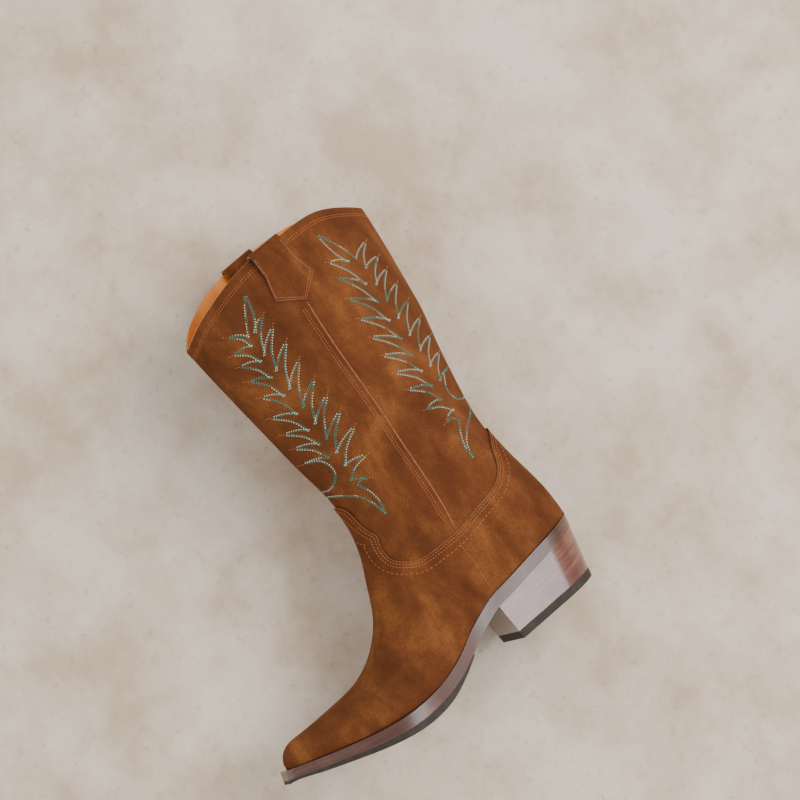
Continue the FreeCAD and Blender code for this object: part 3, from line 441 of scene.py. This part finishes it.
GROUND_STITCH = Stitch(1.6, 0.25, 0.62, 0.42)
DOTTED_STITCH = Stitch(1.2, 0.75, 0.82, 0.6)
EDGE_BEAD = Stitch(1.6, 0.02, 0.7, 0.5)
TOP_STITCH = Stitch(1.7, 0.65, 0.55, 0.42)
FINE_STITCH = Stitch(1.5, 0.6, 0.5, 0.36)
LONG_STITCH = Stitch(2.4, 1.3, 0.55, 0.4)


class Seamstress:
    """Sews rows of separate stitches into one mesh."""

    def __init__(self, name: str, threads: Sequence[bpy.types.Material]) -> None:
        """Start an empty piece with its threads."""
        self.name = name
        self.threads = list(threads)
        self.work = bmesh.new()
        self.count = 0
        grain = bmesh.new()
        bmesh.ops.create_uvsphere(grain, u_segments=6, v_segments=4, radius=0.5)
        bmesh.ops.rotate(grain, verts=grain.verts, matrix=Matrix.Rotation(math.pi / 2, 3, "Y"))
        for face in grain.faces:
            face.smooth = True
        self.grain = bpy.data.meshes.new(name + "_grain")
        grain.to_mesh(self.grain)
        grain.free()
        self.faces = len(self.grain.polygons)

    def put(self, start: Vector, end: Vector, normal: Vector, kind: Stitch, thread: int) -> None:
        """Set one stitch between two places of the surface."""
        along = end - start
        length = along.length
        if length < 1e-5:
            return
        along.normalize()
        across = normal.cross(along).normalized()
        up = along.cross(across)
        middle = (start + end) / 2.0 + up * (0.18 * kind.height * MM)
        turn = Matrix((along, across, up)).transposed().to_4x4()
        scale = Matrix.Diagonal((length, kind.width * MM, kind.height * MM, 1.0))
        placed = Matrix.Translation(middle) @ turn @ scale
        self.grain.polygons.foreach_set("material_index", [thread] * self.faces)
        self.grain.transform(placed)
        self.work.from_mesh(self.grain)
        self.grain.transform(placed.inverted())
        self.count += 1

    def sew(self, line: Sequence[Touch], kind: Stitch, thread: int = 0, shift: float = 0.0,
            other: Optional[int] = None, skin: Optional[Skin] = None) -> None:
        """Sew one row of stitches along a line.

        Args:
            line: Touches along the row.
            kind: Sizes of the stitches.
            thread: Number of the row's thread.
            shift: Sideways move of the row, in mm, to the left of its direction.
            other: Second thread that takes every third stitch or so, if any.
            skin: Surface that a moved row is laid on again.
        """
        if len(line) < 2:
            return
        places: List[Touch] = []
        for i, (place, normal) in enumerate(line):
            if shift and skin is not None:
                ahead = line[min(i + 1, len(line) - 1)][0] - line[max(i - 1, 0)][0]
                if ahead.length > 1e-7:
                    place, normal = skin.near(place + normal.cross(ahead.normalized()) * shift * MM)
            places.append((place, normal))
        lengths = [0.0]
        for before, after in zip(places, places[1:]):
            lengths.append(lengths[-1] + (after[0] - before[0]).length)
        total = lengths[-1]
        step = (kind.length + kind.gap) * MM
        count = max(1, int(round(total / step)))
        step = total / count
        filled = kind.length / (kind.length + kind.gap)
        for number in range(count):
            ends = []
            for share in (0.0, filled):
                at = (number + share) * step
                k = 1
                while k < len(lengths) - 1 and lengths[k] < at:
                    k += 1
                span = max(1e-9, lengths[k] - lengths[k - 1])
                mix = min(1.0, max(0.0, (at - lengths[k - 1]) / span))
                ends.append((places[k - 1][0].lerp(places[k][0], mix),
                             places[k - 1][1].lerp(places[k][1], mix)))
            changed = other is not None and noise.noise(ends[0][0] * PATCH_SCALE) > PATCH_LIMIT
            self.put(ends[0][0], ends[1][0], (ends[0][1] + ends[1][1]).normalized(), kind,
                     other if changed else thread)

    def finish(self) -> bpy.types.Object:
        """Close the piece and put it into the scene."""
        mesh = bpy.data.meshes.new(self.name)
        self.work.to_mesh(mesh)
        self.work.free()
        bpy.data.meshes.remove(self.grain)
        for thread in self.threads:
            mesh.materials.append(thread)
        piece = bpy.data.objects.new(self.name, mesh)
        bpy.context.scene.collection.objects.link(piece)
        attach(piece, "root")
        LOG.info("%s: %d stitches", self.name, self.count)
        return piece


# ------------------------------------------------------------------ upper

def sole_height(y: float) -> float:
    """Height in mm of the sole's top at a place along the boot, y in metres."""
    distance = ORIGIN_DISTANCE - y / MM
    for start, end in zip(SOLE_LINE, SOLE_LINE[1:]):
        if distance <= end[0]:
            share = max(0.0, (distance - start[0]) / (end[0] - start[0]))
            return start[1] + (end[1] - start[1]) * share
    return SOLE_LINE[-1][1]


def mark_heights(mesh: bpy.types.Mesh) -> None:
    """Write how each vertex lies to the sole, for the finishes that follow the sole's line."""
    gap = mesh.attributes.new(SOLE_GAP, "FLOAT", "POINT")
    run = mesh.attributes.new(SOLE_RUN, "FLOAT_VECTOR", "POINT")
    for vertex, gap_item, run_item in zip(mesh.vertices, gap.data, run.data):
        x, y, z = vertex.co
        above = z / MM - sole_height(y)
        gap_item.value = above
        run_item.vector = (x, y, above * MM)


def clean_copy(node: str, name: str, material: bpy.types.Material,
               crease: float = 38.0, edge: Optional[bpy.types.Material] = None) -> bpy.types.Object:
    """Copy a CAD node as one merged mesh, smooth but for its real edges.

    Args:
        node: CAD node that the piece stands for.
        name: Name of the new piece.
        material: Its finish.
        crease: Angle in degrees over which an edge stays sharp.
        edge: Finish of the cut edges on the two flanks, if it differs.

    Returns:
        The new piece, riding on the root body.
    """
    work = bmesh.new()
    work.from_mesh(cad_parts[node].data)
    bmesh.ops.remove_doubles(work, verts=work.verts, dist=2e-6)
    bmesh.ops.dissolve_degenerate(work, edges=work.edges, dist=1e-6)
    limit = math.radians(crease)
    for face in work.faces:
        face.smooth = True
        middle = face.calc_center_median()
        cut = (abs(face.normal.x) < CUT_FACING and abs(middle.x) > CUT_BESIDE * MM
               and middle.z > CUT_ABOVE * MM)
        face.material_index = 1 if cut and edge is not None else 0
    for line in work.edges:
        line.smooth = len(line.link_faces) == 2 and line.calc_face_angle(0.0) < limit
    mesh = bpy.data.meshes.new(name)
    work.to_mesh(mesh)
    work.free()
    mesh.materials.append(material)
    if edge is not None:
        mesh.materials.append(edge)
    mark_heights(mesh)
    piece = bpy.data.objects.new(name, mesh)
    bpy.context.scene.collection.objects.link(piece)
    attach(piece, "root")
    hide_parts(node)
    LOG.info("%s: %d faces", name, len(mesh.polygons))
    return piece


@dataclass
class Upper:
    """Suede panels, piping and straps of the boot, with the lining inside them."""

    suede: bpy.types.Material
    pared: bpy.types.Material
    lining: bpy.types.Material
    skin: Skin
    panels: Tuple[str, ...] = ("vamp", "counter_cover", "shaft_front", "shaft_back",
                               "pull_strap_outer", "pull_strap_inner")
    ridge_width: float = 1.3        # raised fold over the side seam, in mm
    ridge_height: float = 0.65
    ridge_margin: float = 0.5       # it ends this far inside the CAD piece
    ridge_steps: int = 90
    ridge_sides: int = 12
    ridge_taper: float = 3.0        # steps over which its ends thin out
    ridge_tip: float = 0.35         # share of that taper already done at the tip
    linings: Tuple[str, ...] = ("shaft_lining_front", "shaft_lining_back", "vamp_lining")

    def build(self) -> None:
        """Make every panel."""
        for node in self.panels:
            clean_copy(node, node + "_suede", self.suede, edge=self.pared)
        for side in Side:
            self.fold(side)
        for node in self.linings:
            clean_copy(node, node + "_calf", self.lining)

    def fold(self, side: Side) -> None:
        """Lay the raised fold of the side seam, a half-round ridge of folded suede; it takes the paler
        pared-edge finish as a painted highlight along the ridge.
        """
        node = "side_piping_" + side.name.lower()
        low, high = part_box(node)
        bottom, top = low[2] / MM + self.ridge_margin, high[2] / MM - self.ridge_margin
        heights = [bottom + (top - bottom) * k / self.ridge_steps for k in range(self.ridge_steps + 1)]
        seam = curve_points(SIDE_SEAM, 8)
        touches = self.skin.wrap([(height_on(seam, height), height) for height in heights], side)
        work = bmesh.new()
        ring: List[bmesh.types.BMVert] = []
        for i, (place, normal) in enumerate(touches):
            ahead = (touches[min(i + 1, len(touches) - 1)][0] - touches[max(i - 1, 0)][0]).normalized()
            across = normal.cross(ahead).normalized()
            taper = smooth(min(i, len(touches) - 1 - i) / self.ridge_taper + self.ridge_tip)
            section = Matrix((across * self.ridge_width / 2.0 * MM * taper,
                              normal * self.ridge_height * MM * taper, ahead)).transposed()
            if not ring:
                ring = bmesh.ops.create_circle(work, cap_ends=True, segments=self.ridge_sides,
                                               radius=1.0)["verts"]
                spots = [vert.co.copy() for vert in ring]
            else:
                edges = [edge for edge in work.edges if set(edge.verts) <= set(ring)]
                made = bmesh.ops.extrude_edge_only(work, edges=edges)
                fresh = [item for item in made["geom"] if isinstance(item, bmesh.types.BMVert)]
                ring = [min(fresh, key=lambda vert, old=old: (vert.co - old.co).length) for old in ring]
            for vert, spot in zip(ring, spots):
                vert.co = place + section @ Vector((spot.x, spot.y, 0.0))
        bmesh.ops.contextual_create(work, geom=[edge for edge in work.edges if edge.is_boundary])
        bmesh.ops.recalc_face_normals(work, faces=work.faces)
        for face in work.faces:
            face.smooth = True
        mesh = bpy.data.meshes.new(node + "_fold")
        work.to_mesh(mesh)
        work.free()
        # Painted highlight: the paler pared-edge finish makes the whole ridge lighter than the suede beside
        # it.
        mesh.materials.append(self.pared)
        piece = bpy.data.objects.new(node + "_fold", mesh)
        bpy.context.scene.collection.objects.link(piece)
        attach(piece, "root")
        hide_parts(node)
        LOG.info("%s: %d faces", piece.name, len(mesh.polygons))


@dataclass
class Bottom:
    """Sole and heel."""

    edge: bpy.types.Material
    stack: bpy.types.Material
    rubber: bpy.types.Material
    sole_parts: Tuple[str, ...] = ("outsole", "welt", "heel_rand")
    lifts: Tuple[str, ...] = ("heel_lift_1", "heel_lift_2", "heel_lift_3", "heel_lift_4",
                              "heel_lift_5", "heel_wedge")
    rubbers: Tuple[str, ...] = ("half_sole", "top_lift")

    def build(self) -> None:
        """Make every layer."""
        for node in self.sole_parts:
            clean_copy(node, node + "_edge", self.edge, 30.0)
        for node in self.lifts:
            clean_copy(node, node + "_ply", self.stack, 30.0)
        for node in self.rubbers:
            clean_copy(node, node + "_tread", self.rubber, 30.0)


@dataclass
class Hidden:
    """Pieces inside the boot that keep their CAD shape."""

    finishes: Dict[str, bpy.types.Material]

    def dress(self) -> None:
        """Give each node its finish."""
        for node, material in self.finishes.items():
            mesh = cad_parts[node].data
            mesh.materials.clear()
            mesh.materials.append(material)
            LOG.info("%s: %s", node, material.name)


# ------------------------------------------------------------------ embroidery

@dataclass(frozen=True)
class Feather:
    """One embroidered feather: pointed barbs on both sides of a bare middle line, in mm.

    Each side has its tips from top to bottom and the notches between them; the first notch lies
    above the first tip.
    """

    crown: FlatPoint
    foot: FlatPoint
    ahead: Tuple[FlatPoint, ...]
    ahead_notches: Tuple[FlatPoint, ...]
    behind: Tuple[FlatPoint, ...]
    behind_notches: Tuple[FlatPoint, ...]
    loop: Tuple[FlatPoint, ...]
    hem: Tuple[FlatPoint, ...]
    stem: Tuple[FlatPoint, ...]
    fold: float                         # turn at which loop and hem cross to the other flank


FRONT_FEATHER = Feather(
    crown=(76.6, 318.0), foot=(95.0, 132.3),
    ahead=((102.2, 301.8), (106.2, 289.7), (107.4, 279.7), (108.8, 267.6), (108.9, 252.7),
           (112.0, 236.7), (112.1, 221.8), (112.4, 209.1), (114.0, 196.2)),
    ahead_notches=((92.0, 292.5), (93.8, 286.1), (95.5, 273.4), (97.0, 259.5), (97.8, 243.8),
                   (98.7, 227.8), (99.4, 213.4), (99.6, 200.9), (100.3, 189.1)),
    behind=((77.1, 298.4), (76.7, 287.5), (76.1, 273.2), (77.0, 257.3), (77.4, 240.0), (77.2, 225.3),
            (77.4, 210.5), (76.2, 195.6), (81.7, 174.9), (89.2, 160.9)),
    behind_notches=((87.4, 292.6), (91.9, 275.3), (92.4, 261.4), (93.1, 245.4), (93.7, 229.0),
                    (94.3, 214.4), (94.9, 200.8), (95.2, 188.6), (96.2, 177.6), (99.3, 167.1),
                    (97.6, 161.7)),
    loop=((114.0, 196.2), (107.2, 192.0), (103.6, 185.0), (104.0, 177.8), (107.6, 173.2),
          (112.6, 171.6), (115.0, 173.0)),
    hem=((115.0, 166.5), (107.9, 160.5), (100.2, 152.2), (96.7, 142.0), (95.0, 132.3)),
    stem=((97.6, 161.7), (94.0, 152.2), (93.2, 142.4), (95.0, 132.3)),
    fold=0.0)

BACK_FEATHER = Feather(
    crown=(7.1, 317.3), foot=(20.2, 121.9),
    ahead=((12.8, 296.8), (15.8, 284.5), (19.1, 267.9), (21.5, 251.6), (23.6, 236.1), (25.4, 220.8),
           (25.9, 205.4), (25.7, 190.3), (23.6, 171.3), (17.6, 154.8)),
    ahead_notches=((0.3, 287.7), (0.6, 267.2), (2.0, 251.9), (3.8, 236.2), (5.5, 220.7),
                   (6.9, 206.6), (8.0, 193.2), (8.8, 180.5), (9.2, 168.6), (6.4, 156.9),
                   (8.8, 149.7)),
    behind=((-21.2, 290.4), (-22.0, 276.8), (-21.0, 265.5), (-20.5, 252.7), (-19.0, 238.1),
            (-18.5, 222.8), (-16.6, 208.1), (-14.2, 194.4), (-12.5, 181.8)),
    behind_notches=((-5.8, 285.9), (-6.9, 276.1), (-5.4, 262.1), (-3.8, 248.2), (-2.4, 233.3),
                    (-1.3, 218.5), (-0.5, 205.1), (0.3, 191.8), (0.9, 179.0), (-3.6, 178.9)),
    loop=((-3.6, 178.9), (0.2, 173.1), (0.8, 165.6), (-2.6, 159.9), (-9.0, 156.9)),
    hem=((-11.0, 151.5), (-0.6, 145.7), (9.9, 140.2), (17.4, 132.7), (20.2, 121.9)),
    stem=((8.8, 149.7), (15.5, 141.9), (20.0, 131.6), (20.2, 121.9)),
    fold=math.pi)


@dataclass
class Embroidery:
    """The four feathers sewn on the shaft."""

    skin: Skin
    teal: bpy.types.Material
    pale: bpy.types.Material
    tan: bpy.types.Material
    row_gap: float = 0.95           # between the green row and the pale row
    tail: float = 5.0               # single tan stitches run on past each tip
    high_bulge: float = 1.1         # how far the two sides of a barb curve up
    low_bulge: float = 2.3

    def double_row(self, sewer: Seamstress, touches: Sequence[Touch], shift: float) -> None:
        """Sew a green row and, beside it, a pale one."""
        sewer.sew(touches, GROUND_STITCH, 0)
        sewer.sew(touches, DOTTED_STITCH, 1, shift, other=0, skin=self.skin)

    def barb(self, sewer: Seamstress, side: Side, tip: FlatPoint, high: FlatPoint,
             low: Optional[FlatPoint]) -> None:
        """Sew one barb.

        Args:
            sewer: Takes the stitches.
            side: Flank that it lies on.
            tip: Its point.
            high: Notch over it.
            low: Notch under it; None leaves the lower side to the loop.
        """
        towards = 1.0 if tip[0] > high[0] else -1.0
        sides = [(high, tip, self.high_bulge)] + ([(tip, low, self.low_bulge)] if low else [])
        for start, end, bulge in sides:
            span = math.hypot(end[0] - start[0], end[1] - start[1])
            rise = (abs(end[1] - start[1]) / span, abs(end[0] - start[0]) / span)
            middle = ((start[0] + end[0]) / 2.0 - towards * rise[0] * bulge,
                      (start[1] + end[1]) / 2.0 + rise[1] * bulge)
            touches = self.skin.wrap(curve_points((start, middle, end), 10), side)
            self.double_row(sewer, touches, -side.value * towards * self.row_gap)
        lean = math.hypot(tip[0] - high[0], tip[1] - high[1])
        step = ((tip[0] - high[0]) / lean * self.tail, (tip[1] - high[1]) / lean * self.tail)
        tail = [(tip[0] + step[0] * u, tip[1] + step[1] * u) for u in (0.15, 0.6, 1.0)]
        sewer.sew(self.skin.wrap(tail, side), DOTTED_STITCH, 2)

    def crossing(self, sewer: Seamstress, side: Side, start: FlatPoint, drop: float,
                 fold: float) -> None:
        """Carry a line on round the fold, where it meets its mirror image."""
        turn = self.skin.turn_of(start[0], start[1], side)
        goal = side.value * fold
        arc = [(turn + (goal - turn) * k / 10.0, start[1] - drop * smooth(k / 10.0)) for k in range(11)]
        self.double_row(sewer, self.skin.ring(arc), self.row_gap)

    def build(self, feather: Feather, side: Side, name: str) -> bpy.types.Object:
        """Sew one feather.

        Args:
            feather: Its drawing.
            side: Flank that it lies on.
            name: Name of the piece.

        Returns:
            The new piece.
        """
        sewer = Seamstress(name, (self.teal, self.pale, self.tan))
        for tips, notches in ((feather.ahead, feather.ahead_notches),
                              (feather.behind, feather.behind_notches)):
            lower = list(notches[1:]) + [None] * (len(tips) + 1 - len(notches))
            for tip, high, low in zip(tips, notches, lower):
                self.barb(sewer, side, tip, high, low)
            notch, crown = notches[0], feather.crown
            away = 1.0 if notch[0] > feather.ahead_notches[0][0] - 0.1 else -1.0
            middle = (0.5 * crown[0] + 0.5 * notch[0] + away * 1.4, 0.5 * crown[1] + 0.5 * notch[1] - 1.0)
            touches = self.skin.wrap(curve_points((notch, middle, crown), 10), side)
            self.double_row(sewer, touches, side.value * away * self.row_gap)
        for line in (feather.stem, feather.hem, feather.loop):
            touches = self.skin.wrap(curve_points(line, 8), side)
            self.double_row(sewer, touches, self.row_gap)
        self.crossing(sewer, side, feather.loop[-1], 0.5, feather.fold)
        self.crossing(sewer, side, feather.hem[0], -0.5, feather.fold)
        return sewer.finish()


# ------------------------------------------------------------------ topstitching

OVERLAY_EDGE: Tuple[FlatPoint, ...] = (
    (141.1, 158.7), (122.2, 158.7), (116.0, 157.5), (113.5, 154.5), (111.9, 149.0), (111.4, 137.2),
    (110.1, 129.2), (108.6, 124.3), (110.7, 118.0), (112.2, 110.0), (110.6, 102.4), (103.8, 95.9),
    (97.1, 92.3), (82.8, 91.0), (64.5, 91.0), (45.9, 93.9), (23.0, 97.5), (10.7, 104.7), (5.9, 111.9),
    (2.0, 119.1), (-5.2, 126.3), (-9.7, 130.0), (-24.6, 138.7))
SIDE_SEAM: Tuple[FlatPoint, ...] = (
    (44.5, 335.5), (45.9, 287.9), (47.4, 274.4), (50.1, 245.6), (51.9, 216.7), (53.5, 187.5),
    (55.7, 158.7), (58.2, 129.8), (61.0, 108.4), (64.9, 90.9), (67.1, 79.5), (68.4, 57.7),
    (70.1, 41.9))
RIM: Tuple[FlatPoint, ...] = (
    (127.65, 310.5), (112.9, 321.0), (99.9, 326.5), (86.0, 331.0), (68.0, 334.5), (46.0, 335.5),
    (30.0, 335.0), (10.3, 334.0), (-3.1, 331.5), (-15.6, 326.0), (-30.0, 317.5), (-43.35, 308.5))


STRAP_TAB: Tuple[FlatPoint, ...] = (
    (58.1, 333.0), (58.1, 318.0), (63.1, 300.5), (45.1, 288.0), (27.1, 300.5), (32.1, 318.0),
    (32.1, 333.0))
# Top of the sole in the side view.
SOLE_LINE: Tuple[FlatPoint, ...] = (
    (-60, 52.74), (-13.5, 47.8), (30, 43.18), (75, 38.4), (84, 35.75), (93, 33.04), (102, 29.83),
    (111, 25.79), (120, 22.08), (129, 19.27), (138, 17), (147, 15.71), (156, 15.03), (164, 14.8),
    (175, 15.13), (188, 16.58), (202, 18.92), (216, 22.24), (232, 26.63), (250, 32.35), (266.5, 37.8),
    (280, 37.8))


def moved_line(line: Sequence[FlatPoint], shift: float) -> List[FlatPoint]:
    """Move a line of the side view sideways by shift mm, to the left of its direction."""
    result = []
    for i, point in enumerate(line):
        before, after = line[max(0, i - 1)], line[min(len(line) - 1, i + 1)]
        ahead = (after[0] - before[0], after[1] - before[1])
        length = math.hypot(*ahead)
        result.append((point[0] - ahead[1] / length * shift, point[1] + ahead[0] / length * shift))
    return result


def inside_tab(inset: float) -> List[FlatPoint]:
    """Outline of the strap's tab drawn in by inset mm about its middle."""
    middle = STRAP_TAB[3][0]
    half = STRAP_TAB[2][0] - middle
    return [(middle + (d - middle) * (1.0 - inset / half), z + (inset * 1.2 if z < 320.0 else 0.0))
            for d, z in STRAP_TAB]


@dataclass
class Topstitching:
    """Rows that hold the panels, the rim and the straps."""

    skin: Skin
    thread: bpy.types.Material
    pared: bpy.types.Material
    edge_rows: Tuple[Tuple[float, Stitch], ...] = ((2.3, TOP_STITCH), (4.6, TOP_STITCH),
                                                   (9.4, LONG_STITCH))
    rim_rows: Tuple[float, ...] = (6.0, 7.8)
    seam_rows: Tuple[float, ...] = (3.7, 5.6)
    strap_inset: float = 1.7
    strap_skins: Dict[Side, Skin] = field(init=False)

    def __post_init__(self) -> None:
        """Make the straps' own surfaces."""
        self.strap_skins = {side: Skin(("pull_strap_" + side.name.lower(),)) for side in Side}

    def leg_row(self, line: Sequence[FlatPoint], side: Side) -> List[Touch]:
        """Lay a line on the leg by its turn, so that it stays even near the folds."""
        return self.skin.ring([(self.skin.turn_of(d, z, side), z) for d, z in line])

    def build(self, side: Side) -> bpy.types.Object:
        """Sew all rows of one flank."""
        sewer = Seamstress("topstitching_" + side.name.lower(), (self.thread, self.pared))
        edge = curve_points(OVERLAY_EDGE, 8)
        for drop, kind in self.edge_rows:
            sewer.sew(self.skin.wrap(moved_line(edge, drop), side), kind)
        rim = curve_points(RIM, 10)
        for drop in self.rim_rows:
            sewer.sew(self.leg_row([(d, z - drop) for d, z in rim], side), FINE_STITCH)
        seam = [point for point in curve_points(SIDE_SEAM, 6) if point[1] < 285.0]
        upper = [point for point in seam if point[1] > 95.0]
        lower = [point for point in seam if point[1] < 86.0]
        for shift in self.seam_rows:
            sewer.sew(self.skin.wrap([(d + shift, z) for d, z in upper], side), FINE_STITCH)
        sewer.sew(self.skin.wrap([(d + 2.2, z) for d, z in lower], side), FINE_STITCH)
        # The second row is a pale bead of the pared-edge finish just inside the tab's edge: partly the tab's
        # pale rolled edge, partly a painted highlight along it.
        for inset, kind, thread in ((self.strap_inset, FINE_STITCH, 0), (0.35, EDGE_BEAD, 1)):
            tab = inside_tab(inset)
            for start, end in zip(tab, tab[1:]):
                steps = max(2, int(math.hypot(end[0] - start[0], end[1] - start[1]) / 2.0))
                run = [(start[0] + (end[0] - start[0]) * k / steps,
                        start[1] + (end[1] - start[1]) * k / steps) for k in range(steps + 1)]
                sewer.sew(self.strap_skins[side].wrap(run, side), kind, thread)
        # Pale bead of the pared-edge finish just inside the overlay's edge: partly a pale rolled edge, partly
        # a painted highlight along the raised edge.
        sewer.sew(self.skin.wrap(moved_line(edge, 0.5), side), EDGE_BEAD, 1)
        return sewer.finish()


# ------------------------------------------------------------------ stage

@dataclass(frozen=True)
class Stage:
    """Backdrop, lights and camera."""

    target: Tuple[float, float, float] = (0.0, 0.0862, 0.1861)
    azimuth: float = 75.0
    elevation: float = 4.7
    roll: float = -39.4
    lens: float = 250.0
    distance: float = 4.011
    backdrop_depth: float = 0.062

    def directions(self) -> Tuple[Vector, Vector, Vector]:
        """Right, up and back of the camera."""
        a, e, r = (math.radians(value) for value in (self.azimuth, self.elevation, self.roll))
        back = Vector((math.sin(a) * math.cos(e), -math.cos(a) * math.cos(e), math.sin(e)))
        level = Vector((math.cos(a), math.sin(a), 0.0))
        up = back.cross(level)
        return (level * math.cos(r) + up * math.sin(r), up * math.cos(r) - level * math.sin(r), back)

    def camera(self) -> None:
        """Set up the camera."""
        right, up, back = self.directions()
        data = bpy.data.cameras.new("camera")
        data.lens = self.lens
        data.sensor_width = 36.0
        data.clip_start, data.clip_end = 0.05, 20.0
        camera = bpy.data.objects.new("camera", data)
        turn = Matrix((right, up, back)).transposed().to_4x4()
        camera.matrix_world = Matrix.Translation(Vector(self.target) + back * self.distance) @ turn
        bpy.context.scene.collection.objects.link(camera)
        bpy.context.scene.camera = camera

    def backdrop(self) -> None:
        """Lay the plain pale floor under the lying boot."""
        right, up, back = self.directions()
        work = bmesh.new()
        bmesh.ops.create_grid(work, x_segments=1, y_segments=1, size=2.5)
        turn = Matrix((right, up, back)).transposed().to_4x4()
        bmesh.ops.transform(work, verts=work.verts,
                            matrix=Matrix.Translation(-back * self.backdrop_depth) @ turn)
        mesh = bpy.data.meshes.new("backdrop")
        work.to_mesh(mesh)
        work.free()
        material, tree, shader = new_material("plaster floor, warm white")
        place = add_node(tree, "TexCoord").outputs["Object"]
        cloud = add_node(tree, "TexNoise", inputs={
            "Vector": place, "Scale": 14.0, "Detail": 7.0, "Roughness": 0.65})
        ramp = add_node(tree, "ValToRGB", inputs={"Fac": cloud.outputs["Fac"]})
        set_ramp(ramp, [(0.36, "#cbb59d"), (0.47, "#d9c7b3"), (0.62, "#e8dccc")])
        pitted = add_node(tree, "TexNoise", inputs={
            "Vector": place, "Scale": 130.0, "Detail": 5.0, "Roughness": 0.7})
        pits = add_node(tree, "MapRange", inputs={
            "Value": pitted.outputs["Fac"], "From Min": 0.33, "From Max": 0.43, "To Min": 0.3, "To Max": 0.0})
        marked = add_node(tree, "Mix", {"data_type": "RGBA"}, {
            0: pits.outputs["Result"], 6: ramp.outputs["Color"], 7: linear("#a48c72")})
        tree.links.new(marked.outputs[2], shader.inputs["Base Color"])
        shader.inputs["Roughness"].default_value = 0.9
        clear = add_node(tree, "BsdfTransparent")
        facing = add_node(tree, "NewGeometry")
        both = add_node(tree, "MixShader", inputs={
            0: facing.outputs["Backfacing"], 1: shader.outputs["BSDF"], 2: clear.outputs["BSDF"]})
        tree.links.new(both.outputs["Shader"], tree.nodes["Material Output"].inputs["Surface"])
        mesh.materials.append(material)
        floor = bpy.data.objects.new("backdrop", mesh)
        bpy.context.scene.collection.objects.link(floor)
        floor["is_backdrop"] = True

    def light(self, name: str, offset: Tuple[float, float, float], size: float, power: float,
              colour: str) -> None:
        """Add one soft lamp; the offset is along the camera's right, up and back, in metres."""
        right, up, back = self.directions()
        data = bpy.data.lights.new(name, "AREA")
        data.shape = "DISK"
        data.size = size
        data.energy = power
        data.color = linear(colour)[:3]
        lamp = bpy.data.objects.new(name, data)
        centre = Vector((0.0, 0.0, 0.17))
        place = centre + right * offset[0] + up * offset[1] + back * offset[2]
        lamp.location = place
        lamp.rotation_mode = "QUATERNION"
        lamp.rotation_quaternion = (centre - place).to_track_quat("-Z", "Y")
        bpy.context.scene.collection.objects.link(lamp)

    def build(self) -> None:
        """Make camera, floor and lamps."""
        self.camera()
        self.backdrop()
        self.light("window", (1.3, 1.2, 1.5), 1.3, 42.0, "#fff8f0")
        self.light("panel", (1.10, 0.28, 1.75), 0.8, 13.0, "#fbfaff")
        self.light("bounce", (-1.6, -0.6, 1.2), 1.6, 12.0, "#f8f4f0")
        self.light("behind", (0.3, 0.5, -1.6), 1.6, 26.0, "#fff8f2")
        world = bpy.data.worlds.new("room")
        world.use_nodes = True
        world.node_tree.nodes["Background"].inputs["Color"].default_value = linear("#efe9e2")
        world.node_tree.nodes["Background"].inputs["Strength"].default_value = 0.8
        bpy.context.scene.world = world


# ------------------------------------------------------------------ all together


def main() -> Tuple[Vector, Vector]:
    """Build everything in order and return the box of the CAD model."""
    logging.basicConfig(level=logging.INFO, format="%(name)s: %(message)s")
    cad_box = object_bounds()
    Stage().build()
    suede, lining = Suede().make(), LINING.make()
    stiffener, board, steel = STIFFENER.make(), BOARD.make(), STEEL.make()
    skin = Skin()
    Hidden({"toe_box": stiffener, "heel_counter": stiffener, "vamp_interlining": stiffener,
            "insole_board": board, "cork_filler": CORK.make(), "shank": steel, "heel_nails": steel,
            "sock_liner": lining}).dress()
    pared = RAW_EDGE.make()
    Upper(suede, pared, lining, skin).build()
    Bottom(SOLE_EDGE.make(), HEEL_STACK.make(), RUBBER.make()).build()
    tan = TAN_THREAD.make()
    embroidery = Embroidery(skin, TEAL_THREAD.make(), PALE_THREAD.make(), tan)
    topstitching = Topstitching(skin, tan, pared)
    for side in Side:
        embroidery.build(FRONT_FEATHER, side, "front_feather_" + side.name.lower())
        embroidery.build(BACK_FEATHER, side, "back_feather_" + side.name.lower())
        topstitching.build(side)
    return cad_box


if __name__ == "__main__":
    CAD_BOX = main()
